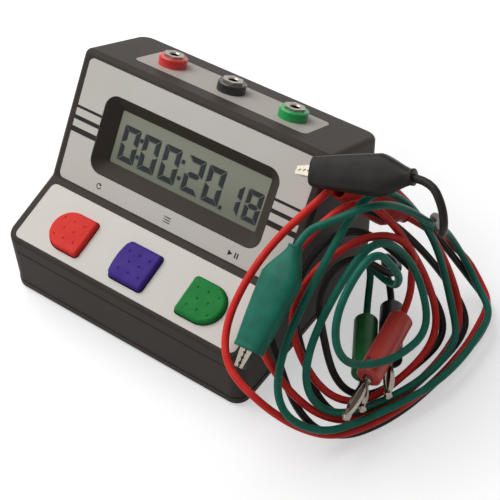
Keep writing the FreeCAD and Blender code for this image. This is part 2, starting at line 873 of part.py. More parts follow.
# Keys with flanges under the keypad, each free to travel down onto its dome
def make_key(which):
    body = new_body(f"key_{which}", keypad_frame)
    cap = new_sketch(body, f"{which}_cap_outline", height=-key_floor_depth)
    key_outline(cap, which, ZERO)
    block = pad(body, f"{which}_cap", cap, key_floor_depth + size("key_proud"))
    top = size("key_proud").number
    round_edges(body, f"{which}_edge", block, size("key_edge"), lambda edge: (
        abs(edge.BoundBox.ZMin - top) < 1e-3 and abs(edge.BoundBox.ZMax - top) < 1e-3))
    flange = new_sketch(body, f"{which}_flange_outline", height=-key_floor_depth)
    key_outline(flange, which, size("key_flange"))
    pad(body, f"{which}_flange", flange, size("key_flange_thickness"))
    dimples = new_sketch(body, f"{which}_dimple_section", height=size("key_proud"))
    middle = {"red": -size("key_pitch") + size("key_edge") / 2, "blue": ZERO,
              "green": size("key_pitch") - size("key_edge") / 2}[which]
    rows = ((1, (-1, 0, 1)), (0, (-0.5, 0.5)), (-1, (-1, 0, 1)))
    for row, steps in rows:
        for step in steps:
            circle(dimples, middle + size("dimple_step") * step,
                   size("key_centre") + size("dimple_row") * row, size("dimple_diameter"))
    pocket(body, f"{which}_dimples", dimples, size("dimple_depth"))
    return body


for which in KEYS:
    nodes.append(make_key(which))


def board_holes(body, name, places, diameter, thickness):
    sketch = new_sketch(body, name, height=ZERO)
    for across, up in places:
        circle(sketch, across, up, diameter)
    extrude(body, "Pocket", f"{name}_cut", sketch, thickness, symmetric=True)


def make_key_board():
    body = new_body("key_board", keypad_frame)
    low = size("key_board_start")
    outline = new_sketch(body, "key_board_outline", height=-key_board_depth)
    left, right = centred(key_board_width)
    rectangle(outline, left, right, low, low + size("key_board_length"))
    pad(body, "key_board_plate", outline, size("board_thickness"), reverse=True)
    board_holes(body, "key_board_screw_holes", key_posts,
                size("board_screw_diameter") + size("slide_gap"), key_board_depth * 4)
    return body


nodes.append(make_key_board())


def make_key_mat():
    # One silicone mat with a hollow dome under each key
    height = number("dome_height")
    depth = key_board_depth.number
    left, right = centred(key_board_width)
    low = number("key_board_start")
    sheet_solid = Part.makeBox(key_board_width.number, number("key_board_length"),
                               number("mat_thickness"), Vector(left.number, low, -depth))
    for across, up in key_posts:
        sheet_solid = sheet_solid.cut(cylinder(
            across.number, up.number, -depth, number("post_diameter") / 2 + number("slide_gap"),
            number("mat_thickness")))
    for step in (-1, 0, 1):
        place = Vector(step * number("key_pitch"), number("key_centre"),
                       number("mat_thickness") - depth)
        outer = Part.makeCone(number("dome_base") / 2, number("dome_top") / 2, height, place)
        inner = Part.makeCone(number("dome_base") / 2 - number("dome_wall"),
                              number("dome_top") / 2 - number("dome_wall"),
                              height - number("dome_wall"), place)
        sheet_solid = sheet_solid.fuse(outer.cut(inner))
    return plain_group("key_mat", [sheet_solid.removeSplitter()], keypad_frame)


nodes.append(make_key_mat())


def board_screws(label, frame, places, depth):
    seat = -depth.number - number("board_thickness")
    shapes = [pan_screw(across.number, up.number, seat, number("board_screw_diameter"),
                        number("board_screw_length") - number("slide_gap"),
                        number("board_screw_head"), number("board_screw_head_height"))
              for across, up in places]
    return plain_group(label, shapes, frame)


nodes.append(board_screws("key_board_screws", keypad_frame, key_posts, key_board_depth))


# Display: glass panel in a frame, pressed on contact strips against the circuit board
lcd_low = window_middle - size("lcd_length") / 2
lcd_high = window_middle + size("lcd_length") / 2
lcd_top = size("bezel_depth") + size("lcd_gap")


def make_lcd_panel():
    body = new_body("lcd_panel", display_frame)
    left, right = centred(size("lcd_width"))
    back = new_sketch(body, "lcd_back_outline", height=-(lcd_top + size("lcd_thickness")))
    rectangle(back, left, right, lcd_low, lcd_high)
    pad(body, "lcd_back_glass", back, size("lcd_thickness") / 2)
    front = new_sketch(body, "lcd_front_outline", height=-(lcd_top + size("lcd_thickness") / 2))
    rectangle(front, left, right, lcd_low + size("strip_length") / 2,
              lcd_high - size("strip_length") / 2)
    pad(body, "lcd_front_glass", front, size("lcd_thickness") / 2)
    return body


nodes.append(make_lcd_panel())


def make_lcd_holder():
    body = new_body("lcd_holder", display_frame)
    inner_half = size("lcd_width") / 2 + size("lcd_gap")
    outer_half = inner_half + size("holder_wall")
    outer = new_sketch(body, "holder_outline", height=-lcd_top)
    rounded_rectangle(outer, -outer_half, outer_half,
                      lcd_low - size("lcd_gap") - size("holder_wall"),
                      lcd_high + size("lcd_gap") + size("holder_wall"), size("view_corner"))
    pad(body, "holder_block", outer, display_board_depth - lcd_top, reverse=True)
    inner = new_sketch(body, "holder_opening", height=-lcd_top)
    rectangle(inner, -inner_half, inner_half, lcd_low - size("lcd_gap"),
              lcd_high + size("lcd_gap"))
    pocket(body, "holder_room", inner, display_board_depth)
    return body


nodes.append(make_lcd_holder())


def make_contact_strips():
    shapes = []
    width = number("lcd_width") - 2 * number("strip_margin")
    for low in (lcd_low.number + number("strip_margin"),
                lcd_high.number - number("strip_margin") - number("strip_length")):
        shapes.append(Part.makeBox(width, number("strip_length"), number("strip_length"),
                                   Vector(-width / 2, low, -display_board_depth.number)))
    return plain_group("lcd_contact_strips", shapes, display_frame)


nodes.append(make_contact_strips())


def make_display_board():
    body = new_body("display_board", display_frame)
    left, right = centred(display_board_width)
    low = size("display_board_start")
    outline = new_sketch(body, "display_board_outline", height=-display_board_depth)
    rectangle(outline, left, right, low, low + size("display_board_length"))
    pad(body, "display_board_plate", outline, size("board_thickness"), reverse=True)
    board_holes(body, "display_board_screw_holes", display_posts,
                size("board_screw_diameter") + size("slide_gap"), display_board_depth * 4)
    return body


nodes.append(make_display_board())
nodes.append(board_screws("display_board_screws", display_frame, display_posts,
                          display_board_depth))


def make_chip():
    # A flat chip with legs on its four sides, on the back of the display board
    side = number("chip_side")
    depth = display_board_depth.number + number("board_thickness")
    leg = number("chip_leg")
    low = -depth - number("chip_thickness")
    chip = Part.makeBox(side, side, number("chip_thickness"), Vector(-side / 2, -side / 2, low))
    chip = chip.makeChamfer(leg / 4, [edge for edge in chip.Edges if edge.CenterOfMass.z < low + 1e-6])
    pieces = []
    for quarter in range(4):
        for step in range(-3, 4):
            piece = Part.makeBox(leg * 1.5, leg / 2, number("chip_thickness") / 2,
                                 Vector(side / 2 - leg / 4, step * leg * 1.5 - leg / 4, -depth
                                        - number("chip_thickness") / 2))
            piece.rotate(Vector(0, 0, 0), AXIS_Z, 90 * quarter)
            pieces.append(piece)
    chip = chip.multiFuse(pieces).removeSplitter()
    chip.translate(Vector(-display_board_width.number / 5, window_middle.number, 0))
    return plain_group("timer_chip", [chip], display_frame)


def make_crystal():
    # An oval metal can with a flanged foot
    depth = display_board_depth.number + number("board_thickness")
    shapes = []
    for grow, height in ((number("contact_thickness"), number("contact_thickness")),
                         (0, number("crystal_height"))):
        width = number("crystal_width") + 2 * grow
        straight = number("crystal_length") - number("crystal_width")
        box = Part.makeBox(straight, width, height, Vector(-straight / 2, -width / 2, -height))
        ends = [Part.makeCylinder(width / 2, height, Vector(x, 0, -height))
                for x in (-straight / 2, straight / 2)]
        shapes.append(box.multiFuse(ends))
    can = shapes[0].fuse(shapes[1]).removeSplitter()
    can.translate(Vector(display_board_width.number / 5, window_middle.number, -depth))
    return plain_group("quartz_crystal", [can], display_frame)


nodes.append(make_chip())
nodes.append(make_crystal())


# Runs of wire and cord: straight runs joined by tangent arcs, or chains of two-arc pieces
def arc_middle(start, corner, end):
    middle = (start + end) / 2
    share = (middle - start).Length / (corner - start).Length
    return middle + (corner - middle) * (share / (1 + share))


def arc_edge(start, corner, end):
    chord = end - start
    if (corner - start).cross(chord).Length < 1e-4 * chord.Length:
        return Part.LineSegment(start, end).toShape()
    return Part.Arc(start, arc_middle(start, corner, end), end).toShape()


def tube_on(edges, diameter):
    wire = Part.Wire(edges)
    first = edges[0]
    start = first.valueAt(first.FirstParameter)
    direction = first.tangentAt(first.FirstParameter)
    section = Part.Wire([Part.makeCircle(diameter / 2, start, direction)])
    return wire.makePipeShell([section], True, False)


def routed_tube(points, diameter, share=0.45):
    # Straight runs between the points; each turn takes the given share of its shorter run
    edges = []
    radii = []
    last = points[0]
    for before, corner, after in zip(points, points[1:], points[2:]):
        run_in = (corner - before).Length
        run_out = (after - corner).Length
        reach = share * min(run_in, run_out)
        way_in = (corner - before).normalize()
        way_out = (after - corner).normalize()
        turn = way_in.getAngle(way_out)
        radii.append(round(reach / math.tan(turn / 2), 1))
        begin = corner - way_in * reach
        end = corner + way_out * reach
        edges.append(Part.LineSegment(last, begin).toShape())
        edges.append(arc_edge(begin, corner, end))
        last = end
    edges.append(Part.LineSegment(last, points[-1]).toShape())
    solid = tube_on(edges, diameter)
    length = sum(edge.Length for edge in edges)
    print("  route radii", radii, "length", round(length, 1), "volume share",
          round(solid.Volume / (length * math.pi * diameter ** 2 / 4), 4))
    return solid


def two_arcs(start, way_in, end, way_out):
    chord = end - start
    both = way_in + way_out
    bend = 2 * (1 - way_in.dot(way_out))
    along = chord.dot(both)
    if bend < 1e-9:
        reach = chord.dot(chord) / (2 * along)
    else:
        reach = (math.sqrt(along * along + bend * chord.dot(chord)) - along) / bend
    first = start + way_in * reach
    second = end - way_out * reach
    middle = (first + second) / 2
    return [arc_edge(start, first, middle), arc_edge(middle, second, end)]


def wound_edges(point_at, first, last, per_turn):
    # Two-arc pieces along a winding whose place is given for each count of turns
    count = max(2, round((last - first) * per_turn))
    step = 1e-3
    stations = []
    for index in range(count + 1):
        turn = first + (last - first) * index / count
        way = (point_at(turn + step) - point_at(turn - step)).normalize()
        stations.append((point_at(turn), way))
    edges = []
    for (start, way_in), (end, way_out) in zip(stations, stations[1:]):
        edges += two_arcs(start, way_in, end, way_out)
    return edges, stations


# Power: two cells lying side by side, between contact plates and springs
def make_cells():
    shapes = []
    for side, along in ((1, bay_low + size("cell_gap") + size("cell_diameter") / 2),
                        (-1, bay_high - size("cell_gap") - size("cell_diameter") / 2)):
        end = side * (bay_half.number - number("contact_thickness") - number("contact_gap"))
        start = Vector(end - side * number("cell_length"), along.number, cell_height.number)
        way = Vector(side, 0, 0)
        length = number("cell_length") - number("cell_cap")
        can = Part.makeCylinder(number("cell_diameter") / 2, length, start, way)
        can = can.makeFillet(number("contact_thickness"), [e for e in can.Edges if e.Closed])
        cap = Part.makeCylinder(number("cell_cap_diameter") / 2, number("cell_cap") * 2,
                                start + way * (length - number("cell_cap")), way)
        shapes.append(can.fuse(cap).removeSplitter())
    return plain_group("aa_cells", shapes)


def make_contacts():
    shapes = []
    wire = number("spring_wire")
    thick = number("contact_thickness")
    wide = number("contact_width")
    tall = number("contact_height")
    for side, along in ((1, bay_low + size("cell_gap") + size("cell_diameter") / 2),
                        (-1, bay_high - size("cell_gap") - size("cell_diameter") / 2)):
        for end in (side, -side):
            face = end * bay_half.number
            left = min(face, face - end * thick)
            shapes.append(Part.makeBox(thick, wide, tall, Vector(
                left, along.number - wide / 2, cell_height.number - tall / 2)))
        base = -side * (bay_half.number - thick)
        cell_end = side * (bay_half.number - thick - number("contact_gap")
                           - number("cell_length"))
        room = abs(cell_end - base) - wire - 2 * number("contact_gap")
        turns = number("spring_turns")

        def spring_point(turn):
            share = turn / turns
            radius = wide / 2 - wire - share * wide / 5
            return Vector(base + side * (wire / 2 + number("contact_gap") + room * share),
                          along.number + radius * math.cos(2 * math.pi * turn),
                          cell_height.number + radius * math.sin(2 * math.pi * turn))

        edges, _ = wound_edges(spring_point, 0, turns, 4)
        shapes.append(tube_on(edges, wire))
    return plain_group("battery_contacts", shapes)


nodes.append(make_cells())
nodes.append(make_contacts())


# Sockets: a coloured collar with a threaded barrel, a metal insert, a nut, a tag and a wire each
barrel = number("barrel_diameter") / 2 - number("barrel_gap")
insert_top = number("collar_height")
insert_low = insert_top + number("insert_flange") - number("insert_length")


def make_collar(which, across):
    body = new_body(f"socket_collar_{which}", shifted(top_frame, across.number,
                                                      socket_place.number))
    section = new_sketch(body, f"{which}_collar_section", "XZ_Plane")
    outer = size("collar_diameter") / 2
    inner = size("insert_diameter") / 2 + size("insert_gap")
    stem = size("barrel_diameter") / 2 - size("barrel_gap")
    chamfer = size("collar_chamfer")
    height = size("collar_height")
    draw_outline(section, [
        (inner, -size("barrel_length")), (stem, -size("barrel_length")), (stem, ZERO),
        (outer, ZERO), (outer, height - chamfer), (outer - chamfer, height), (inner, height),
    ])
    turned = body.newObject("PartDesign::Revolution", f"{which}_collar_turned")
    turned.Profile = section
    turned.ReferenceAxis = (section, ["V_Axis"])
    turned.Angle = 360
    section.Visibility = False
    document.recompute()
    return body


def at_sockets(build):
    shapes = []
    for across, up in socket_places:
        shape = build()
        shape.translate(Vector(across.number, up.number, 0))
        shapes.append(shape)
    return shapes


def insert_shape():
    bore = number("socket_bore") / 2
    tube = cylinder(0, 0, insert_low, number("insert_diameter") / 2, insert_top - insert_low)
    flange = hexagon_prism(0, 0, insert_top, number("insert_flat"), number("insert_flange"))
    hollow = cylinder(0, 0, insert_top + number("insert_flange") - number("bore_length"), bore,
                      number("bore_length"))
    mouth = Part.makeCone(bore, bore + number("collar_chamfer"), number("collar_chamfer"),
                          Vector(0, 0, insert_top + number("insert_flange")
                                 - number("collar_chamfer")))
    return tube.fuse(flange).cut(hollow).cut(mouth).removeSplitter()


def nut_shape():
    low = -number("wall") - number("nut_thickness")
    nut = hexagon_prism(0, 0, low, number("nut_flat"), number("nut_thickness"))
    return nut.cut(cylinder(0, 0, low, number("barrel_diameter") / 2, number("nut_thickness")))


def tag_shape():
    # A ring on the insert below the barrel, with a tab that hangs down beside it
    top = -number("barrel_length")
    thick = number("tag_thickness")
    outer = number("insert_diameter") / 2 + number("tag_clamp")
    ring = cylinder(0, 0, top - thick, outer, thick)
    half = number("tag_width") / 2
    arm = Part.makeBox(2 * half, outer, thick, Vector(-half, -outer - half, top - thick))
    drop = Part.makeBox(2 * half, thick, number("tag_length") / 2,
                        Vector(-half, -outer - half, top - number("tag_length") / 2))
    hole = cylinder(0, 0, top - thick, number("insert_diameter") / 2 + number("insert_gap"), thick)
    return ring.fuse(arm).fuse(drop).cut(hole).removeSplitter()


def wire_shape():
    # From the tab's foot down and over to the back of the display board
    thick = number("tag_thickness")
    outer = number("insert_diameter") / 2 + number("tag_clamp")
    foot = Vector(0, -outer - number("tag_width") / 2 + thick + number("wire_diameter") / 2
                  + number("insert_gap"), -number("barrel_length") - number("tag_length") / 3)
    place = shifted(top_frame, 0, socket_place.number)
    board = display_frame.multVec(Vector(0, window_middle.number, -display_board_depth.number
                                         - number("board_thickness")))
    rise = display_frame.multVec(Vector(0, window_middle.number, -display_board_depth.number
                                        - number("board_thickness") - number("tag_length")))
    start = place.multVec(foot)
    below = place.multVec(foot + Vector(0, 0, -number("tag_length")))
    solid = routed_tube([start, below, rise, board], number("wire_diameter"))
    solid.transformShape(place.inverse().toMatrix())
    return solid


for which, (across, up) in zip(("red", "black", "green"), socket_places):
    nodes.append(make_collar(which, across))
nodes.append(plain_group("socket_inserts", at_sockets(insert_shape), top_frame))
nodes.append(plain_group("socket_nuts", at_sockets(nut_shape), top_frame))
nodes.append(plain_group("socket_tags", at_sockets(tag_shape), top_frame))
nodes.append(plain_group("socket_wires", at_sockets(wire_shape), top_frame))


# Leads: three cords, each with a booted clip at one end and a sprung plug at the other
def facing(start, target, side):
    # A frame at start whose x axis points at the target and whose z axis leans to the side
    along = (target - start).normalize()
    across = side.cross(along).normalize()
    upright = along.cross(across)
    matrix = FreeCAD.Matrix(along.x, across.x, upright.x, start.x,
                            along.y, across.y, upright.y, start.y,
                            along.z, across.z, upright.z, start.z,
                            0, 0, 0, 1)
    return Placement(matrix)


COLOURS = ("red", "black", "green")
# Where each clip's nose tip and cord end lie, and the way its levers spread
CLIP_PLACES = {
    "red": (Vector(62.2, 8.9, 80.7), Vector(80.6, 39.0, 44.8), Vector(-0.06, -0.54, -0.49)),
    "black": (Vector(52.6, 2.0, 85.3), Vector(97.2, 6.1, 102.7), Vector(-0.2, 0.8, 0.65)),
    "green": (Vector(69.6, -61.6, 48.0), Vector(66.5, -19.6, 74.0), Vector(1.0, 0.1, 0.1)),
}
# Where each plug's cord end and pin tip lie, and the way its side screw faces
PLUG_PLACES = {
    "red": (Vector(96.8, 9.1, 22.4), Vector(103.2, -43.2, 21.4), Vector(-0.5, -0.2, 0.85)),
    "black": (Vector(85.2, 23.3, 6.8), Vector(110.7, -24.3, 16.2), Vector(0.5, 0.0, 0.85)),
    "green": (Vector(79.9, 11.4, 6.5), Vector(106.6, -36.8, 17.4), Vector(-0.9, -0.2, 0.4)),
}


def clip_frame(which):
    nose, cord_end, side = CLIP_PLACES[which]
    along = (nose - cord_end).normalize()
    pivot = nose - along * number("clip_reach")
    return facing(pivot, nose, side)


def plug_frame(which):
    cord_end, pin_tip, side = PLUG_PLACES[which]
    return facing(cord_end, pin_tip, side)


def jaw_points(sign):
    tail = -size("clip_tail")
    reach = size("clip_reach")
    depth = size("clip_depth")
    spread = size("clip_spread")
    flange = size("clip_flange")
    points = [
        (tail, -spread), (-size("clip_ear_front"), -depth),
        (size("clip_mouth_back"), -depth), (reach, -size("clip_nose")),
        (reach, -size("clip_mouth_gap")), (size("clip_mouth_back"), -size("clip_mouth_gap")),
        (size("clip_ear_front"), size("clip_ear_top")),
        (-size("clip_ear_back"), size("clip_ear_top")),
        (-size("clip_lever_back"), -(depth - flange)), (tail, -(spread - flange)),
    ]
    if sign > 0:
        return [(x, -z) for x, z in reversed(points)]
    return points


def channel_points(sign):
    wall = size("clip_wall")
    tail = -size("clip_tail") - wall
    reach = size("clip_reach") + wall
    far = size("clip_spread") * 2
    points = [
        (tail, -size("clip_spread") + wall), (-size("clip_ear_front"), -size("clip_depth") + wall),
        (size("clip_mouth_back"), -size("clip_depth") + wall), (reach, -size("clip_nose") + wall),
        (reach, far), (tail, far),
    ]
    if sign > 0:
        return [(x, -z) for x, z in reversed(points)]
    return points


def make_jaw(which, part, sign, width):
    # A jaw folded from sheet: an open channel with toothed edges, ears for the pin and a lever
    name = f"clip_{part}_{which}"
    body = new_body(name, clip_frame(which))
    side = new_sketch(body, f"{name}_side", "XZ_Plane")
    draw_outline(side, jaw_points(sign))
    pad(body, f"{name}_blank", side, width, symmetric=True)
    channel = new_sketch(body, f"{name}_channel", "XZ_Plane")
    draw_outline(channel, channel_points(sign))
    pocket(body, f"{name}_fold", channel, width - size("clip_wall") * 2, symmetric=True)
    cuts = new_sketch(body, f"{name}_cuts", "XZ_Plane")
    circle(cuts, ZERO, ZERO, size("clip_pin") + size("clip_pin_gap") * 2)
    edge = size("clip_mouth_gap") * sign
    for tooth in range(6):
        left = size("clip_tooth_start") + size("clip_tooth") * tooth
        right = left + size("clip_tooth") * 0.8
        middle = left + size("clip_tooth") * 0.4
        root = (size("clip_mouth_gap") + size("clip_tooth_depth")) * sign
        over = -edge
        if sign > 0:
            draw_outline(cuts, [(middle, root), (left, over), (right, over)])
        else:
            draw_outline(cuts, [(middle, root), (right, over), (left, over)])
    pocket(body, f"{name}_teeth", cuts, size("clip_width") * 2, symmetric=True)
    return body


def pin_shape():
    half = number("clip_width") / 2 + number("clip_pin_gap")
    head = number("clip_pin_head_height")
    rod = cylinder(0, -half, 0, number("clip_pin") / 2, 2 * half, AXIS_Y)
    heads = [cylinder(0, y, 0, number("clip_pin_head") / 2, head, AXIS_Y)
             for y in (-half - head, half)]
    return rod.multiFuse(heads).removeSplitter()


def clip_spring():
    # Turns round the pin, with two arms that push the levers apart
    wire = number("clip_wire")
    radius = number("clip_pin") / 2 + number("clip_pin_gap") + wire * 0.9
    arm = number("clip_arm")
    lever = number("clip_depth") - number("clip_wall") - wire / 2 + number("clip_gap")
    lean = math.atan2(lever - radius, arm)
    turns = 2 + (math.pi - 2 * lean) / (2 * math.pi)
    top = math.pi / 2 - lean
    half_width = turns * number("clip_wire_pitch") / 2

    def turn_point(turn):
        angle = top - 2 * math.pi * turn
        return Vector(radius * math.cos(angle), -half_width + number("clip_wire_pitch") * turn,
                      radius * math.sin(angle))

    edges, stations = wound_edges(turn_point, 0, turns, 4)
    first, last = stations[0][0], stations[-1][0]
    way_in = Vector(math.cos(lean), 0, -math.sin(lean))
    way_out = Vector(-math.cos(lean), 0, -math.sin(lean))
    edges.insert(0, Part.LineSegment(first - way_in * arm, first).toShape())
    edges.append(Part.LineSegment(last, last + way_out * arm).toShape())
    return tube_on(edges, wire)


def boot_section(place, spread, thick):
    # A flat-sided oval across the x axis, its long way along z
    straight = max(spread - thick, number("boot_flat"))
    half = straight / 2
    radius = thick / 2
    corners = [Vector(place, -radius, -half), Vector(place, -radius, half),
               Vector(place, radius, half), Vector(place, radius, -half)]
    return Part.Wire([
        Part.LineSegment(corners[0], corners[1]).toShape(),
        Part.Arc(corners[1], Vector(place, 0, half + radius), corners[2]).toShape(),
        Part.LineSegment(corners[2], corners[3]).toShape(),
        Part.Arc(corners[3], Vector(place, 0, -half - radius), corners[0]).toShape(),
    ])


def boot_shape():
    # A soft sleeve: a neck on the cord, a wide shoulder over the levers, a taper to the nose
    wall = number("boot_wall")
    neck_end = -number("boot_end")
    neck = neck_end + number("boot_neck_length")
    shoulder = -number("boot_shoulder_place")
    front = number("boot_cover")
    stations = [(neck, number("boot_neck") + number("boot_flat"), number("boot_neck"))]
    for share, spread_share, thick_share in ((0.35, 0.42, 0.45), (0.7, 0.9, 0.93)):
        stations.append((
            neck + share * (shoulder - neck),
            number("boot_neck") + spread_share * (number("boot_shoulder") - number("boot_neck")),
            number("boot_neck") + thick_share * (number("boot_thickness") - number("boot_neck"))))
    for step in range(5):
        share = step / 4
        stations.append((
            shoulder + share * (front - shoulder),
            number("boot_shoulder") + share * (number("boot_front_width")
                                               - number("boot_shoulder")),
            number("boot_thickness") + share * (number("boot_front_thickness")
                                                - number("boot_thickness"))))
    outside = Part.makeLoft([boot_section(*station) for station in stations], True, True)
    inside = Part.makeLoft([boot_section(x, spread - 2 * wall, thick - 2 * wall)
                            for x, spread, thick in stations], True, True)
    neck_solid = Part.Face(boot_section(neck_end, *stations[0][1:])).extrude(
        Vector(number("boot_neck_length"), 0, 0))
    bore = cylinder(neck_end, 0, 0, number("cord_diameter") / 2 + number("boot_cord_gap"),
                    number("boot_neck_length") * 2, AXIS_X)
    return outside.cut(inside).fuse(neck_solid).cut(bore).removeSplitter()


def make_plug_body(which):
    body = new_body(f"plug_body_{which}", plug_frame(which))
    section = new_sketch(body, f"plug_{which}_section", "XZ_Plane")
    length = size("plug_length")
    outer = size("plug_diameter") / 2
    stem = size("plug_collar") / 2
    cord = size("cord_diameter") / 2 + size("boot_cord_gap")
    chamfer = size("plug_chamfer")
    inside = length - size("plug_stem")
    draw_outline(section, [
        (ZERO, cord), (size("plug_bore_depth"), cord), (size("plug_bore_depth"), ZERO),
        (inside, ZERO), (inside, stem), (length, stem), (length, outer - chamfer / 2),
        (length - chamfer / 2, outer), (chamfer, outer), (ZERO, outer - chamfer),
    ])
    turned = body.newObject("PartDesign::Revolution", f"plug_{which}_turned")
    turned.Profile = section
    turned.ReferenceAxis = (section, ["H_Axis"])
    turned.Angle = 360
    section.Visibility = False
    document.recompute()
    hole = new_sketch(body, f"plug_{which}_screw_hole", height=ZERO)
    circle(hole, length - size("grub_place"), ZERO, size("grub_diameter"))
    pocket(body, f"plug_{which}_side_hole", hole, size("plug_diameter"), reverse=True)
    return body


def make_plug_pin(which):
    # A turned core and tip with four bowed leaves round it
    body = new_body(f"plug_pin_{which}", plug_frame(which))
    front = size("plug_length")
    root = front + size("plug_collar_length")
    end = root + size("pin_length")
    neck = end - size("pin_tip_length")
    core = size("pin_core") / 2
    tip = size("pin_tip") / 2
    stem = size("plug_collar") / 2
    section = new_sketch(body, f"pin_{which}_section", "XZ_Plane")
    draw_outline(section, [
        (front - size("plug_stem"), ZERO), (end, ZERO), (end, tip / 2),
        (end - tip / 2, tip), (neck, tip), (neck, core), (root, core), (root, stem),
        (front - size("plug_stem"), stem),
    ])
    turned = body.newObject("PartDesign::Revolution", f"pin_{which}_turned")
    turned.Profile = section
    turned.ReferenceAxis = (section, ["H_Axis"])
    turned.Angle = 360
    section.Visibility = False
    document.recompute()
    leaf = new_sketch(body, f"pin_{which}_leaf_section", "XZ_Plane")
    half_chord = (neck - root) / 2
    rise = size("pin_bulge") - core
    bow = (half_chord * half_chord + rise * rise) / (rise * 2)
    middle = (root + neck) / 2
    draw_outline(leaf, [(root, core / 2), (neck, core / 2), (neck, core), (root, core)],
                 {2: (middle, core + rise - bow)})
    bowed = pad(body, f"pin_{which}_leaf", leaf, size("pin_leaf_width"), symmetric=True)
    polar_copies(body, f"pin_{which}_leaves", bowed, 4, "X_Axis")
    return body


def grub_screw():
    length = number("grub_length")
    seat = number("plug_collar") / 2
    place = number("plug_length") - number("grub_place")
    screw = cylinder(place, 0, seat, number("grub_diameter") / 2 - number("grub_gap"), length)
    slot = number("grub_diameter") / 5
    cut = Part.makeBox(number("grub_diameter"), slot, slot * 2,
                       Vector(place - number("grub_diameter") / 2, -slot / 2,
                              seat + length - slot))
    return screw.cut(cut)


def placed(shape, frame):
    copy = shape.copy()
    copy.transformShape(frame.toMatrix())
    return copy


# The heap the cords lie in: a slope from the case's top down to the bench on its right side,
# with a mound over the red clip and a fence that keeps the cords off the case's wall
def smooth_step(value):
    value = min(1.0, max(0.0, value))
    return value * value * (3 - 2 * value)


def soft_floor(value, blend):
    return blend * math.log1p(math.exp(max(-40.0, min(40.0, value / blend))))


HEAP = {
    "level": 68.5, "fall": 0.755, "cap": 71.5, "cap_blend": 4.0, "floor_blend": 6.0,
    "near": 65.0, "far_front": 101.0, "far_back": 114.0, "front": -45.0, "depth": 45.0,
    "bump_x": 71.0, "bump_y": 12.0, "bump_spread": 11.0,
    "fence": 62.6, "fence_blend": 1.5, "fence_front": -7.0, "fence_depth": 8.0,
}
# The inner turn of the green coil climbs: how many turns before its end, and over how many
CLIMB_BEFORE, CLIMB_OVER = 1.05, 0.4
COILS = {
    "black": {
        "centre": (90.113, -2.249), "drift": (0.741, -0.638), "half_length": 53.955,
        "half_width": 27.561, "heading": 1.174, "shrink": -0.208, "phase": -0.317,
        "egg": (0.102, 0.008), "layer": 2.2, "rise": 0.0, "bump": 0.0, "first": -0.13,
        "last": 2.74,
    },
    "red": {
        "centre": (84.118, -7.866), "drift": (2.21, -1.489), "half_length": 61.887,
        "half_width": 31.121, "heading": 1.144, "shrink": -0.213, "phase": -0.45,
        "egg": (0.052, -0.024), "layer": 6.1, "rise": 0.0, "bump": 7.5, "first": 0.0,
        "last": 2.66,
    },
    "green": {
        "centre": (96.173, -1.965), "drift": (0.295, -4.537), "half_length": 55.867,
        "half_width": 23.146, "heading": 1.325, "shrink": -0.276, "phase": -0.782,
        "egg": (-0.087, -0.003), "layer": 10.1, "rise": 11.0, "bump": 7.5, "first": -0.1,
        "last": 2.74,
    },
}


def heap_height(x, y, bump):
    level = HEAP["cap"] - soft_floor(HEAP["cap"] - HEAP["level"] - HEAP["fall"] * y,
                                     HEAP["cap_blend"])
    away = ((x - HEAP["bump_x"]) ** 2 + (y - HEAP["bump_y"]) ** 2) / HEAP["bump_spread"] ** 2
    level = soft_floor(level, HEAP["floor_blend"]) + bump * math.exp(-away / 2)
    far = HEAP["far_front"] + (HEAP["far_back"] - HEAP["far_front"]) * smooth_step(
        (y - HEAP["front"]) / HEAP["depth"])
    return level * smooth_step((far - x) / (far - HEAP["near"]))


def coil_point(coil, turn):
    # An egg-shaped spiral in plan that shrinks turn by turn, laid on the heap in its layer
    angle = 2 * math.pi * turn - coil["phase"]
    even, odd = coil["egg"]
    shape = (1 + coil["shrink"] * turn) * (1 + even * math.cos(3 * angle)
                                           + odd * math.sin(3 * angle))
    along = coil["half_length"] * shape * math.cos(angle)
    aside = -coil["half_width"] * shape * math.sin(angle)
    heading = coil["heading"]
    x = (coil["centre"][0] + coil["drift"][0] * turn
         + along * math.cos(heading) - aside * math.sin(heading))
    y = (coil["centre"][1] + coil["drift"][1] * turn
         + along * math.sin(heading) + aside * math.cos(heading))
    held = smooth_step((y - HEAP["fence_front"]) / HEAP["fence_depth"])
    x += held * (HEAP["fence"] + soft_floor(x - HEAP["fence"], HEAP["fence_blend"]) - x)
    climb = smooth_step((turn - coil["last"] + CLIMB_BEFORE) / CLIMB_OVER)
    layer = coil["layer"] + coil["rise"] * climb
    step = number("cord_diameter") / 60
    lean_x = (heap_height(x + step, y, coil["bump"]) - heap_height(x - step, y, coil["bump"]))
    lean_y = (heap_height(x, y + step, coil["bump"]) - heap_height(x, y - step, coil["bump"]))
    lean = math.sqrt(1 + (lean_x / (2 * step)) ** 2 + (lean_y / (2 * step)) ** 2)
    return Vector(x, y, heap_height(x, y, coil["bump"]) + layer * lean)


def self_gap(edges, diameter):
    # The smallest gap between stretches of one winding that lie an eighth of it or more apart
    marks = [place for edge in edges for place in edge.discretize(5)[:-1]]
    skip = len(marks) // 8
    nearest = min((place - other).Length for index, place in enumerate(marks)
                  for other in marks[index + skip:])
    return nearest - diameter


PER_TURN = 16
# How far from a stretch's ends its first and last turning points lie, in cord diameters
CLIP_RUN, COIL_RUN, PLUG_RUN = 2, 3, 3
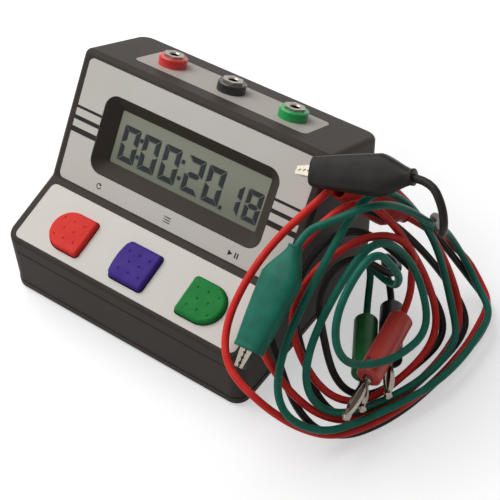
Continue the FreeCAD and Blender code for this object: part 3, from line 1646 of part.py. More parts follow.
# Turning points of the free stretches, in the case frame
FRONT_ROUTES = {
    "red": [(88.6, 46.4, 34.4), (100.5, 55.7, 19.4), (110.7, 53.9, 8.1)],
    "black": [(112.2, 0.2, 100.7), (114.0, -0.7, 88.7), (105.1, 13.1, 75.9),
              (101.9, 24.0, 67.8), (90.1, 40.6, 51.0)],
    "green": [(72.8, -8.9, 79.1), (84.0, 1.5, 85.9), (89.2, 16.4, 75.2), (97.0, 32.1, 53.9),
              (94.4, 46.4, 39.3)],
}
REAR_ROUTES = {
    "red": [(87.7, 15.6, 59.5), (95.1, 19.1, 49.4), (93.3, 20.6, 40.2)],
    "black": [(88.1, 22.4, 35.9), (72.1, 34.5, 23.1)],
    "green": [(92.9, 7.0, 39.9), (66.7, 21.6, 32.1), (70.4, 31.1, 18.9)],
}


def make_lead(which):
    diameter = number("cord_diameter")
    coil = COILS[which]
    edges, stations = wound_edges(lambda turn: coil_point(coil, turn), coil["first"],
                                  coil["last"], PER_TURN)
    coil_start, way_in = stations[0]
    coil_end, way_out = stations[-1]
    enter = coil_start - way_in * diameter
    leave = coil_end + way_out * diameter
    edges.insert(0, Part.LineSegment(enter, coil_start).toShape())
    edges.append(Part.LineSegment(coil_end, leave).toShape())
    length = sum(edge.Length for edge in edges)
    solid = tube_on(edges, diameter)
    print(f"  coil {which} length", round(length, 1), "self gap",
          round(self_gap(edges, diameter), 2), "volume share",
          round(solid.Volume / (length * math.pi * diameter ** 2 / 4), 4))
    clip = clip_frame(which)
    plug = plug_frame(which)
    inner_end = clip.multVec(Vector(-number("boot_end") + number("boot_neck_length")
                                    + diameter / 2, 0, 0))
    outer_end = clip.multVec(Vector(-number("boot_end") - diameter * CLIP_RUN, 0, 0))
    front = [inner_end, outer_end] + [Vector(*place) for place in FRONT_ROUTES[which]]
    front += [enter - way_in * diameter * COIL_RUN, enter]
    socket = plug.multVec(Vector(number("plug_bore_depth"), 0, 0))
    behind = plug.multVec(Vector(-diameter * PLUG_RUN, 0, 0))
    rear = [leave, leave + way_out * diameter * COIL_RUN]
    rear += [Vector(*place) for place in REAR_ROUTES[which]] + [behind, socket]
    return [
        plain_group(f"cord_front_{which}", [routed_tube(front, diameter)]),
        plain_group(f"coil_{which}", [solid]),
        plain_group(f"cord_rear_{which}", [routed_tube(rear, diameter)]),
    ]


slim = size("clip_width") - size("clip_wall") * 2 - size("clip_gap") * 2
for which in COLOURS:
    nodes.append(make_jaw(which, "lower", -1, size("clip_width")))
    nodes.append(make_jaw(which, "upper", 1, slim))
    nodes.append(plain_group(f"boot_{which}", [boot_shape()], clip_frame(which)))
    nodes.append(make_plug_body(which))
    nodes.append(make_plug_pin(which))
    nodes += make_lead(which)
nodes.append(plain_group("clip_pins", [placed(pin_shape(), clip_frame(c)) for c in COLOURS]))
nodes.append(plain_group("clip_springs", [placed(clip_spring(), clip_frame(c)) for c in COLOURS]))
nodes.append(plain_group("plug_screws", [placed(grub_screw(), plug_frame(c)) for c in COLOURS]))


# Output
def write_nodes():
    document.recompute()
    for item in document.Objects:
        if "Invalid" in item.State or "Error" in item.State:
            raise RuntimeError(f"{item.Label} did not compute: {item.State}")
    for node in nodes:
        if node.Shape.isNull() or not node.Shape.isValid():
            raise RuntimeError(f"{node.Label} has no valid shape")
        node.Shape.exportStep(f"parts/{node.Label}.step")
        print(node.Label, "solids", len(node.Shape.Solids), "volume", round(node.Shape.Volume, 1))


write_nodes()
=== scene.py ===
import math

import bmesh
import bpy
import numpy as np
from mathutils import Matrix, Vector


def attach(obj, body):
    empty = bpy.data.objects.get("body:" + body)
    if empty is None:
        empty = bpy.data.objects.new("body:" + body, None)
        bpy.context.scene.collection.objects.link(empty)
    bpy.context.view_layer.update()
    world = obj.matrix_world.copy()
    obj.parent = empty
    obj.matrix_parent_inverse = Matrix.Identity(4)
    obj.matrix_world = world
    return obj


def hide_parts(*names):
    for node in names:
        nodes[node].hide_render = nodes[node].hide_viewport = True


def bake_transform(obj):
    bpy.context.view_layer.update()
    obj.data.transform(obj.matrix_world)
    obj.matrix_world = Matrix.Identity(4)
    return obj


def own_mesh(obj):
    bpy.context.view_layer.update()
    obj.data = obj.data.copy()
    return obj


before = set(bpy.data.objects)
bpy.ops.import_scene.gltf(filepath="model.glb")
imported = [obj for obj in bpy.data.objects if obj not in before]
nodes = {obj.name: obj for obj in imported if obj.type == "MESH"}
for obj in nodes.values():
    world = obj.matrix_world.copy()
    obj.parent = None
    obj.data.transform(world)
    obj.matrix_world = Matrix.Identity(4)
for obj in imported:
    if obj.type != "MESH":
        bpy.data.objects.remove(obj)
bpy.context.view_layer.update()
mm = 0.001


# Small tools

def linearColour(hexValue):
    # sRGB hex to the linear values that the shaders work in
    channels = [int(hexValue[place:place + 2], 16) / 255 for place in (1, 3, 5)]
    linear = [c / 12.92 if c <= 0.04045 else ((c + 0.055) / 1.055) ** 2.4 for c in channels]
    return (*linear, 1.0)


def addNode(material, kind, settings=None, links=None):
    # One node with its settings, by input name or number or by property, and its incoming links
    node = material.node_tree.nodes.new(kind)
    for name, value in (settings or {}).items():
        if isinstance(name, int) or name in node.inputs:
            node.inputs[name].default_value = value
        else:
            setattr(node, name, value)
    for name, output in (links or {}).items():
        material.node_tree.links.new(output, node.inputs[name])
    return node


def newMaterial(name, **shader):
    material = bpy.data.materials.new(name)
    material.use_nodes = True
    principled = material.node_tree.nodes["Principled BSDF"]
    for socket, value in shader.items():
        principled.inputs[socket.replace("_", " ")].default_value = value
    return material, principled


def grainBump(material, principled, grain, height, detail=2.0):
    # A fine uneven surface: noise whose lumps are grain millimetres wide, read in the object's place
    place = addNode(material, "ShaderNodeTexCoord").outputs["Object"]
    noise = addNode(material, "ShaderNodeTexNoise", {"Scale": 1 / (grain * mm), "Detail": detail},
                    {"Vector": place})
    bump = addNode(material, "ShaderNodeBump", {"Strength": height, "Distance": 0.1 * mm},
                   {"Height": noise.outputs["Fac"]})
    material.node_tree.links.new(bump.outputs["Normal"], principled.inputs["Normal"])
    return place


def mottle(material, principled, low, high, place, patch):
    # Slow colour change between two close shades in patches of the given width in millimetres
    noise = addNode(material, "ShaderNodeTexNoise", {"Scale": 1 / (patch * mm), "Detail": 3.0},
                    {"Vector": place})
    ramp = addNode(material, "ShaderNodeValToRGB", {}, {"Fac": noise.outputs["Fac"]})
    for end, position, shade in ((0, 0.35, low), (1, 0.65, high)):
        ramp.color_ramp.elements[end].position = position
        ramp.color_ramp.elements[end].color = linearColour(shade)
    material.node_tree.links.new(ramp.outputs["Color"], principled.inputs["Base Color"])


def linkObject(name, data):
    piece = bpy.data.objects.new(name, data)
    bpy.context.scene.collection.objects.link(piece)
    return piece


def meshPiece(name, vertices, faces, material, smooth=True):
    mesh = bpy.data.meshes.new(name)
    mesh.from_pydata([tuple(v) for v in vertices], [], [tuple(f) for f in faces])
    mesh.update()
    mesh.polygons.foreach_set("use_smooth", np.full(len(mesh.polygons), smooth))
    mesh.materials.append(material)
    return linkObject(name, mesh)


def ringFaces(rows, columns):
    # Quads between rows of points, each row a closed ring of as many columns
    row, column = (places.ravel() for places in
                   np.meshgrid(np.arange(rows - 1), np.arange(columns), indexing="ij"))
    this, following, beside = row * columns, (row + 1) * columns, (column + 1) % columns
    return np.stack([this + column, following + column, following + beside, this + beside], 1)


def editMesh(piece, *steps):
    # Takes a piece's mesh through the given steps, one after another
    work = bmesh.new()
    work.from_mesh(piece.data)
    for step in steps:
        step(work)
    work.to_mesh(piece.data)
    work.free()


def fillEnds(work):
    bmesh.ops.holes_fill(work, edges=[edge for edge in work.edges if edge.is_boundary])


def mergePoles(work):
    bmesh.ops.remove_doubles(work, verts=work.verts, dist=1e-6)


def faceOutwards(work):
    bmesh.ops.recalc_face_normals(work, faces=work.faces)


def axesOf(start, target, side):
    # Origin and axes of a frame whose x axis points at the target and whose z axis leans to side
    start, target, side = (np.array(v, float) for v in (start, target, side))
    along = (target - start) / np.linalg.norm(target - start)
    across = np.cross(side, along)
    across /= np.linalg.norm(across)
    return start, np.stack([along, across, np.cross(along, across)])


def intoFrame(points, place):
    origin, axes = place
    return origin + np.asarray(points) @ axes


def smoothStep(value):
    value = np.clip(value, 0, 1)
    return value * value * (3 - 2 * value)


# The case's sloping faces

# Front edge of each face as (y, z) in millimetres, and its slope in degrees
caseFaces = {
    "keypad": {"origin": (-50.0, 30.6), "slope": 17.0},
    "display": {"origin": (-18.1, 40.353), "slope": 56.0},
    "roof": {"origin": (13.3, 86.905), "slope": -24.6},
}


def onFace(face, x, along, out=0.0):
    # Millimetres on a face, across, up the slope and outwards, to metres in the case frame
    y0, z0 = caseFaces[face]["origin"]
    slope = math.radians(caseFaces[face]["slope"])
    x, along, out = np.broadcast_arrays(*(np.asarray(v, float) for v in (x, along, out)))
    return mm * np.stack([x, y0 + along * math.cos(slope) - out * math.sin(slope),
                          z0 + along * math.sin(slope) + out * math.cos(slope)], -1)


def outwardFrom(face):
    # The way straight out from a face
    slope = math.radians(caseFaces[face]["slope"])
    return (0, -math.sin(slope), math.cos(slope))


# Materials

def mouldedAbs(name, low, high, roughness=0.5):
    # ABS moulded in a spark-eroded tool: a fine matt grain with a soft broad sheen. The real grain
    # is about a tenth of a millimetre wide, too fine to show, so it is drawn coarser
    material, principled = newMaterial(name, Roughness=roughness, IOR=1.53,
                                       Specular_IOR_Level=0.07)
    place = grainBump(material, principled, grain=0.45, height=0.35, detail=3.0)
    mottle(material, principled, low, high, place, patch=14.0)
    return material


def plainPlastic(name, low, high, roughness=0.35, grain=0.8, height=0.15, gloss=0.5):
    # Moulded plastic or rubber: a slightly uneven skin, as shiny as its gloss and roughness say
    material, principled = newMaterial(name, Roughness=roughness, IOR=1.5,
                                       Specular_IOR_Level=gloss)
    place = grainBump(material, principled, grain, height)
    mottle(material, principled, low, high, place, patch=6.0)
    return material


def satinPolyester(name, low, high):
    # Polyester film printed in silver: even, with the soft metallic sheen of fine flakes
    material, principled = newMaterial(name, Roughness=0.5, IOR=1.5, Metallic=0.05,
                                       Specular_IOR_Level=0.12)
    place = grainBump(material, principled, grain=0.3, height=0.03)
    mottle(material, principled, low, high, place, patch=25.0)
    return material


def platedMetal(name, colour, roughness):
    # Plated metal: it mirrors the room a little dulled, and slight waves break up the reflection
    material, principled = newMaterial(name, Metallic=1.0, Roughness=roughness,
                                       Base_Color=linearColour(colour))
    grainBump(material, principled, grain=1.5, height=0.02)
    return material


lcdHeights = {"foot": 52.5, "head": 70.9}  # the panel's visible ends above the bench


def polarisedGlass(name, low, high):
    # Reflective liquid crystal glass: a grey green, barely glossy, with painted shade that darkens
    # it towards the panel's foot and lightens it towards its head
    material, principled = newMaterial(name, Roughness=0.3, IOR=1.5, Specular_IOR_Level=0.2)
    place = addNode(material, "ShaderNodeTexCoord").outputs["Object"]
    parts = addNode(material, "ShaderNodeSeparateXYZ", {}, {"Vector": place})
    height = addNode(material, "ShaderNodeMapRange",
                     {"From Min": lcdHeights["foot"] * mm, "From Max": lcdHeights["head"] * mm},
                     {"Value": parts.outputs["Z"]})
    ramp = addNode(material, "ShaderNodeValToRGB", {}, {"Fac": height.outputs[0]})
    ramp.color_ramp.elements[0].color = linearColour(low)
    ramp.color_ramp.elements[1].color = linearColour(high)
    material.node_tree.links.new(ramp.outputs["Color"], principled.inputs["Base Color"])
    return material


caseAbs = mouldedAbs("darkGreyAbs", "#3e3731", "#413a35")
trayAbs = mouldedAbs("blackAbs", "#1b1a19", "#232120", roughness=0.45)
labelPolyester = satinPolyester("silverPolyester", "#cec9c2", "#d1ccc6")
roofPolyester = satinPolyester("greyPolyester", "#b1aaa3", "#b5aea7")
# Painted shade on the panel: the darker grey green at its foot, the lighter at its head
lcdGlass = polarisedGlass("liquidCrystalGlass", "#7c8071", "#9da08f")
nickel = platedMetal("nickelPlate", "#918a80", 0.2)
zincSteel = platedMetal("zincPlatedSteel", "#b9b8b4", 0.3)

# Silicone rubber of the keys: silk matt, so that the colours stay full
silk = {"roughness": 0.5, "grain": 0.6, "height": 0.12, "gloss": 0.1}
keyRubber = {
    "red": plainPlastic("redKeyRubber", "#d8342c", "#e03d34", **silk),
    "blue": plainPlastic("violetKeyRubber", "#3a247c", "#452f8a", **silk),
    "green": plainPlastic("greenKeyRubber", "#177534", "#1f7f3c", **silk),
}
# Polyamide collars of the sockets: smooth, with a clear highlight
socketPlastic = {
    "red": plainPlastic("redPolyamide", "#d2322b", "#dc3b33", roughness=0.3),
    "black": plainPlastic("blackPolyamide", "#1c1b1a", "#242322", roughness=0.3),
    "green": plainPlastic("greenPolyamide", "#14964a", "#1ba153", roughness=0.3),
}
# Polystyrene bodies of the plugs: satin, with a long soft highlight
plugPlastic = {
    "red": plainPlastic("redPolystyrene", "#d2433a", "#dc4d43", roughness=0.38),
    "black": plainPlastic("blackPolystyrene", "#1c1a19", "#252322", roughness=0.38, gloss=0.3),
    "green": plainPlastic("greenPolystyrene", "#2d7a41", "#34854a", roughness=0.38, gloss=0.3),
}
# Soft vinyl of cords and boots: slightly wavy, with a weak greasy sheen
supple = {"roughness": 0.4, "grain": 1.2, "height": 0.1, "gloss": 0.14}
vinyl = {
    "red": plainPlastic("redVinyl", "#d62f2b", "#e13831", **supple),
    "black": plainPlastic("blackVinyl", "#1c1816", "#231f1d", **supple),
    "green": plainPlastic("tealVinyl", "#14604f", "#1a6d5b", **supple),
}
# Screen-printed ink and the display's segments: flat and dull
inkBlack = plainPlastic("screenInk", "#26211f", "#2d2826", roughness=0.5, gloss=0.15)
segmentInk = plainPlastic("darkSegment", "#24262a", "#2b2e32", roughness=0.4, gloss=0.2)
# A painted shadow: the segments' shadow on the reflector, drawn as a darker grey green sheet
segmentShadow = plainPlastic("segmentShadow", "#6a6e64", "#70746a", roughness=0.4, gloss=0.2)
# What lies inside and below: from the cells' shiny sleeves to the dull rubber of the feet
siliconeRubber = plainPlastic("milkySilicone", "#b5b3ad", "#bfbdb7", roughness=0.5)
footRubber = plainPlastic("blackFootRubber", "#1d1c1b", "#262423", roughness=0.75)
circuitBoard = plainPlastic("greenLaminate", "#1f4f2c", "#255a33")
epoxyBlack = plainPlastic("blackEpoxy", "#191919", "#212121", roughness=0.55)
stripRubber = plainPlastic("stripRubber", "#55555a", "#606066", roughness=0.6)
cellSleeve = plainPlastic("printedSleeve", "#2a2b30", "#33343a", roughness=0.3)

nodeMaterials = {
    "case_top": caseAbs, "case_base": caseAbs, "battery_door": caseAbs,
    "rubber_feet": footRubber, "case_screws": zincSteel, "keypad_label": labelPolyester,
    "display_label": labelPolyester, "socket_label": roofPolyester, "lcd_panel": lcdGlass,
    "lcd_holder": trayAbs, "lcd_contact_strips": stripRubber, "display_board": circuitBoard,
    "display_board_screws": zincSteel, "timer_chip": epoxyBlack, "quartz_crystal": zincSteel,
    "key_mat": siliconeRubber, "key_board": circuitBoard, "key_board_screws": zincSteel,
    "aa_cells": cellSleeve, "battery_contacts": nickel, "socket_inserts": nickel,
    "socket_nuts": epoxyBlack, "socket_tags": nickel, "socket_wires": vinyl["black"],
    "clip_pins": nickel, "clip_springs": zincSteel, "plug_screws": zincSteel,
}
for colour in ("red", "blue", "green"):
    nodeMaterials[f"key_{colour}"] = keyRubber[colour]
for colour in ("red", "black", "green"):
    nodeMaterials[f"socket_collar_{colour}"] = socketPlastic[colour]
    nodeMaterials[f"plug_body_{colour}"] = plugPlastic[colour]
    for part in ("boot", "cord_front", "coil", "cord_rear"):
        nodeMaterials[f"{part}_{colour}"] = vinyl[colour]
    for part in ("clip_lower", "clip_upper", "plug_pin"):
        nodeMaterials[f"{part}_{colour}"] = nickel
for name, material in nodeMaterials.items():
    mesh = nodes[name].data
    mesh.materials.clear()
    mesh.materials.append(material)
print("materials ready")


# Camera, floor and light

# Position in metres, angles in degrees, lens and sensor in millimetres
camera = {
    "position": (0.22529, -0.26206, 0.38888), "azimuth": 36.67, "elevation": 47.67,
    "roll": -2.24, "lens": 85.35, "sensor": 36, "clip": (0.01, 50),
}


def makeCamera():
    # Looks along its azimuth and down by its elevation, turned about that line by its roll
    azimuth, elevation, roll = (math.radians(camera[k]) for k in ("azimuth", "elevation", "roll"))
    forward = Vector((-math.sin(azimuth) * math.cos(elevation),
                      math.cos(azimuth) * math.cos(elevation), -math.sin(elevation)))
    level = Vector((math.cos(azimuth), math.sin(azimuth), 0))
    right = level * math.cos(roll) + level.cross(forward) * math.sin(roll)
    up = right.cross(forward)
    data = bpy.data.cameras.new("camera")
    data.lens = camera["lens"]
    data.sensor_width = camera["sensor"]
    data.clip_start, data.clip_end = camera["clip"]
    view = linkObject("camera", data)
    view.matrix_world = Matrix((
        (right.x, up.x, -forward.x, camera["position"][0]),
        (right.y, up.y, -forward.y, camera["position"][1]),
        (right.z, up.z, -forward.z, camera["position"][2]), (0, 0, 0, 1)))
    bpy.context.scene.camera = view


studio = {
    "floorSize": 6.0, "floorColour": "#d2d2d2", "worldStrength": 0.2,
    # The floor's own glow: near the object, where its shadow lies, and far from it
    "nearGlow": 0.5, "farGlow": 1.0, "nearReach": 0.12, "farReach": 0.36,
    "keyPlace": (-0.56, -0.05, 0.88), "keySize": 1.0, "keyPower": 10.4,
    "fillPlace": (-0.5, -1.05, 0.38), "fillSize": 1.0, "fillPower": 1.3,
    "aim": (0.02, 0, 0.03),
}


def seenRays(material):
    # One for rays from the camera and for those that metal or glass sends on, else nothing
    path = addNode(material, "ShaderNodeLightPath")
    shiny = addNode(material, "ShaderNodeMath", {"operation": "MAXIMUM"},
                    {0: path.outputs["Is Glossy Ray"], 1: path.outputs["Is Transmission Ray"]})
    return addNode(material, "ShaderNodeMath", {"operation": "MAXIMUM"},
                   {0: path.outputs["Is Camera Ray"], 1: shiny.outputs[0]})


def makeFloor():
    # A pale floor that shades like paper, lifted to white in the camera's view and in reflections
    half = studio["floorSize"] / 2
    paper = bpy.data.materials.new("paperFloor")
    paper.use_nodes = True
    paper.node_tree.nodes.clear()
    diffuse = addNode(paper, "ShaderNodeBsdfDiffuse", {"Color": linearColour(studio["floorColour"])})
    place = addNode(paper, "ShaderNodeTexCoord")
    reach = addNode(paper, "ShaderNodeVectorMath", {"operation": "LENGTH"},
                    {0: place.outputs["Object"]})
    level = addNode(paper, "ShaderNodeMapRange",
                    {"From Min": studio["nearReach"], "From Max": studio["farReach"],
                     "To Min": studio["nearGlow"], "To Max": studio["farGlow"]},
                    {"Value": reach.outputs["Value"]})
    strength = addNode(paper, "ShaderNodeMath", {"operation": "MULTIPLY"},
                       {0: seenRays(paper).outputs[0], 1: level.outputs[0]})
    glow = addNode(paper, "ShaderNodeEmission", {}, {"Strength": strength.outputs[0]})
    both = addNode(paper, "ShaderNodeAddShader", {}, {0: diffuse.outputs[0], 1: glow.outputs[0]})
    addNode(paper, "ShaderNodeOutputMaterial", {}, {"Surface": both.outputs[0]})
    corners = [(-half, -half, 0), (half, -half, 0), (half, half, 0), (-half, half, 0)]
    meshPiece("floor", corners, [(0, 1, 2, 3)], paper, smooth=False)


def makeWorld():
    # A weak white room that shows at full white to the camera and in metal
    world = bpy.data.worlds.new("studioWorld")
    bpy.context.scene.world = world
    world.use_nodes = True
    background = world.node_tree.nodes["Background"]
    background.inputs["Color"].default_value = (1, 1, 1, 1)
    level = addNode(world, "ShaderNodeMapRange",
                    {"To Min": studio["worldStrength"], "To Max": 1.0},
                    {"Value": seenRays(world).outputs[0]})
    world.node_tree.links.new(level.outputs[0], background.inputs["Strength"])


def makeLamp(name):
    light = bpy.data.lights.new(f"{name}Light", "AREA")
    light.size = studio[f"{name}Size"]
    light.energy = studio[f"{name}Power"]
    lamp = linkObject(f"{name}Light", light)
    lamp.location = studio[f"{name}Place"]
    aim = Vector(studio["aim"]) - lamp.location
    lamp.rotation_euler = aim.to_track_quat("-Z", "Y").to_euler()


makeCamera()
makeFloor()
makeWorld()
makeLamp("key")
makeLamp("fill")
bpy.context.scene.view_settings.view_transform = "Standard"
print("camera and studio ready")


# Printed marks on the labels and the display

printedMarks = {
    "lift": 0.03,
    # Distance up the display label and height of each dark band, and how far out it reaches
    "bands": ((32.2, 1.15), (27.6, 1.75), (22.5, 2.3)), "bandOuter": 56.0, "bandInner": 43.0,
    "signHeight": 3.0, "signStroke": 0.42,
    "signs": {"again": (-35.2, 4.5), "choose": (0.3, 4.7), "run": (33.6, 4.3)},
    # Ends of the open circle in degrees, and the arrow head's corners from the first end
    "openCircle": (60, 350), "arrowHead": ((0.9, -0.45), (-0.15, 0.75), (-0.35, -0.65)),
    # Distance of the list's lines, then the ends of a line and of its dot, in half heights
    "listStep": 0.72, "listParts": ((-0.75, 1.2), (-1.2, -0.95)),
    # Ends of the triangle, left edges and width of the two bars, and the share of the height
    "triangle": (-2.6, -0.5), "barLefts": (0.55, 1.65), "barWidth": 0.6, "runShare": 0.8,
}


def flatOutlines(name, face, outlines, out, material):
    # Flat shapes on a face: each outline is a ring of (across, along) corners in millimetres
    points, polygons = [], []
    for outline in outlines:
        outline = np.asarray(outline, float)
        polygons.append(tuple(range(len(points), len(points) + len(outline))))
        points.extend(onFace(face, outline[:, 0], outline[:, 1], out))
    piece = meshPiece(name, points, polygons, material, smooth=False)
    outward = Vector(outwardFrom(face))

    def turnOutwards(work):
        bmesh.ops.reverse_faces(work, faces=[f for f in work.faces if f.normal.dot(outward) < 0])
        bmesh.ops.triangulate(work, faces=work.faces)

    editMesh(piece, turnOutwards)
    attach(piece, "timer")


def rectangleOutline(x0, y0, x1, y1):
    return [(x0, y0), (x1, y0), (x1, y1), (x0, y1)]


def ringPart(centre, radius, stroke, start, end, steps=40):
    # Quads of a ring between two angles in degrees: both edges are circles about the centre
    angle = np.radians(np.linspace(start, end, steps + 1))
    inner = np.stack([centre[0] + (radius - stroke / 2) * np.cos(angle),
                      centre[1] + (radius - stroke / 2) * np.sin(angle)], 1)
    outer = np.stack([centre[0] + (radius + stroke / 2) * np.cos(angle),
                      centre[1] + (radius + stroke / 2) * np.sin(angle)], 1)
    return [(inner[k], outer[k], outer[k + 1], inner[k + 1]) for k in range(steps)]


def makePrintedMarks():
    # Dark bands beside the window, and a plain sign over each key
    marks = printedMarks
    bands = [rectangleOutline(side * marks["bandInner"], place - height / 2,
                              side * marks["bandOuter"], place + height / 2)
             for place, height in marks["bands"] for side in (-1, 1)]
    flatOutlines("labelBands", "display", bands, marks["lift"], inkBlack)
    half, stroke = marks["signHeight"] / 2, marks["signStroke"]
    x, y = marks["signs"]["again"]  # an open circle with an arrow head: start again
    radius = half - stroke
    start, end = marks["openCircle"]
    signs = ringPart((x, y), radius, stroke, start, end)
    tipX = x + radius * math.cos(math.radians(start))
    tipY = y + radius * math.sin(math.radians(start))
    signs.append([(tipX + across, tipY + up) for across, up in marks["arrowHead"]])
    x, y = marks["signs"]["choose"]  # three lines, each with a dot: pick one of a list
    for step in (-1, 0, 1):
        low = y + step * half * marks["listStep"] - stroke / 2
        for left, right in marks["listParts"]:
            signs.append(rectangleOutline(x + half * left, low, x + half * right, low + stroke))
    x, y = marks["signs"]["run"]  # a triangle and two bars: go and stop
    back, point = marks["triangle"]
    reach = half * marks["runShare"]
    signs.append([(x + back, y - reach), (x + point, y), (x + back, y + reach)])
    for left in marks["barLefts"]:
        signs.append(rectangleOutline(x + left, y - reach, x + left + marks["barWidth"],
                                      y + reach))
    flatOutlines("labelSigns", "display", signs, marks["lift"], inkBlack)


makePrintedMarks()
print("label marks printed")


digits = {
    "depth": -5.28, "shadowDepth": -5.32, "shadowShift": (-0.45, -0.4),
    "low": 17.1, "high": 32.3, "stroke": 2.25, "gap": 0.17,
    "smallLow": 17.2, "smallHigh": 30.3, "smallStroke": 2.0,
    # Left edge, width and lit segments of each figure, then the places of the dots
    "large": ((-33.9, 8.3, "abcdef"), (-23.4, 8.3, "abcdef"), (-12.8, 8.3, "abcdef"),
              (-1.0, 8.5, "abged"), (9.3, 8.2, "abcdef")),
    "small": ((20.2, 6.8, "bc"), (29.0, 7.2, "abcdefg")),
    "dots": ((-24.5, 28.6), (-24.5, 21.4), (-2.9, 28.2), (-2.9, 21.2), (18.9, 17.6)),
    "dotSize": 1.6,
}


def segmentOutlines(left, width, low, high, stroke, lit):
    # Seven bars with mitred ends round two stacked squares, named a to g clockwise from the top
    gap, middle = digits["gap"], (low + high) / 2
    right, half = left + width, stroke / 2

    def flat(y, up):
        # A bar that narrows towards the middle of the figure
        inner = y - up * stroke
        return [(left + gap, y), (right - gap, y), (right - stroke - gap, inner),
                (left + stroke + gap, inner)]

    def tall(x, inward, bottom, top, bottomCut, topCut):
        inner = x + inward * stroke
        return [(x, bottom + gap), (x, top - gap), (inner, top - gap - topCut),
                (inner, bottom + gap + bottomCut)]

    bars = {
        "a": flat(high, 1), "d": flat(low, -1),
        "b": tall(right, -1, middle, high, half, stroke),
        "c": tall(right, -1, low, middle, stroke, half),
        "e": tall(left, 1, low, middle, stroke, half),
        "f": tall(left, 1, middle, high, half, stroke),
        "g": [(left + half + gap, middle), (left + stroke + gap, middle + half),
              (right - stroke - gap, middle + half), (right - half - gap, middle),
              (right - stroke - gap, middle - half), (left + stroke + gap, middle - half)],
    }
    return [bars[name] for name in lit]


def makeDigits():
    # Liquid crystal segments, with a painted shadow under them: a darker, shifted copy standing for
    # the shadow they throw on the reflector
    shapes = []
    for left, width, lit in digits["large"]:
        shapes += segmentOutlines(left, width, digits["low"], digits["high"],
                                  digits["stroke"], lit)
    for left, width, lit in digits["small"]:
        shapes += segmentOutlines(left, width, digits["smallLow"], digits["smallHigh"],
                                  digits["smallStroke"], lit)
    half = digits["dotSize"] / 2
    shapes += [rectangleOutline(x - half, y - half, x + half, y + half)
               for x, y in digits["dots"]]
    dx, dy = digits["shadowShift"]
    shadows = [[(x + dx, y + dy) for x, y in shape] for shape in shapes]
    flatOutlines("displayShadows", "display", shadows, digits["shadowDepth"], segmentShadow)
    flatOutlines("displayFigures", "display", shapes, digits["depth"], segmentInk)


makeDigits()
print("display figures set")


keyCaps = {
    "pitch": 34.6, "centre": 14.3, "length": 17.3, "width": 16.6, "bulge": 1.4, "straight": 9.6,
    "corner": 1.7, "slant": 20, "proud": 2.6, "floor": 3.8, "edge": 1.7, "crown": 0.28,
    "flange": 1.2, "flangeThickness": 1.0,
    "pitWidth": 0.42, "pitDepth": 0.42, "pitStep": 5.1, "pitRow": 4.2, "pitShift": 0.5,
    "rows": ((1, (-1, 0, 1)), (0, (-0.5, 0.5)), (-1, (-1, 0, 1))),
    # The top's rings crowd towards the outline; edges that turn more than the crease are sharp
    "around": 288, "rings": 58, "crowding": 1.5, "ringReach": 0.985, "innermost": 0.004,
    "crease": 50,
}


def arcPoints(centre, radius, start, end, count=48):
    # Points of a circle between two angles in degrees
    angle = np.radians(np.linspace(start, end, count))
    return np.stack([centre[0] + radius * np.cos(angle), centre[1] + radius * np.sin(angle)], 1)


def keyOutline(colour):
    # The key seen from above, anticlockwise from its lower right corner and evenly spaced
    size = keyCaps
    low, high = size["centre"] - size["length"] / 2, size["centre"] + size["length"] / 2
    corner = size["corner"]
    if colour == "blue":
        half, bulge = size["width"] / 2, size["bulge"]
        radius = (size["length"] ** 2 / 4 + bulge ** 2) / (2 * bulge)
        spread = math.degrees(math.asin((size["length"] / 2 - corner) / radius))
        parts = [arcPoints((half - corner, low + corner), corner, -90, 0),
                 arcPoints((half - corner, high - corner), corner, 0, 90),
                 arcPoints((-half + corner, high - corner), corner, 90, 180 - size["slant"]),
                 arcPoints((-half - bulge + radius, size["centre"]), radius,
                           180 - spread, 180 + spread),
                 arcPoints((-half + corner, low + corner), corner, 180 + size["slant"], 270)]
    else:
        right = size["straight"]
        parts = [arcPoints((right - corner, -size["length"] / 2 + corner), corner, -90, 0),
                 arcPoints((right - corner, size["length"] / 2 - corner), corner, 0, 90),
                 arcPoints((0, 0), size["length"] / 2, 90, 270)]
    ring = np.concatenate(parts)
    if colour == "red":
        ring = ring + (-size["pitch"], size["centre"])
    if colour == "green":
        ring = ring[::-1] * (-1, 1) + (size["pitch"], size["centre"])
    closed = np.vstack([ring, ring[:1]])
    run = np.concatenate([[0], np.cumsum(np.linalg.norm(np.diff(closed, axis=0), axis=1))])
    even = np.linspace(0, run[-1], size["around"], endpoint=False)
    return np.stack([np.interp(even, run, closed[:, k]) for k in (0, 1)], 1)


def keyTop(colour, ring, rings):
    # Height over the label's face: a quarter circle at the edge, by distance from the outline, and
    # a low crown that grows with the same distance, less a bell-shaped dent at each pit
    size = keyCaps
    flat = rings.reshape(-1, 2)
    inside = np.min(np.linalg.norm(flat[:, None, :] - ring[None, ::2, :], axis=2), axis=1)
    inside = inside.reshape(rings.shape[:2])
    inside[0] = 0
    edge = np.clip(inside / size["edge"], 0, 1)
    height = size["proud"] - size["edge"] * (1 - np.sqrt(1 - (1 - edge) ** 2))
    height += size["crown"] * (smoothStep(inside / (size["length"] / 2)) - 1) * edge
    middle = {"red": size["pitShift"] - size["pitch"], "blue": 0,
              "green": size["pitch"] - size["pitShift"]}[colour]
    for row, steps in size["rows"]:
        for step in steps:
            away = ((rings[..., 0] - middle - size["pitStep"] * step) ** 2
                    + (rings[..., 1] - size["centre"] - size["pitRow"] * row) ** 2)
            height = height - size["pitDepth"] * np.exp(-(away / size["pitWidth"] ** 2) ** 2)
    return height


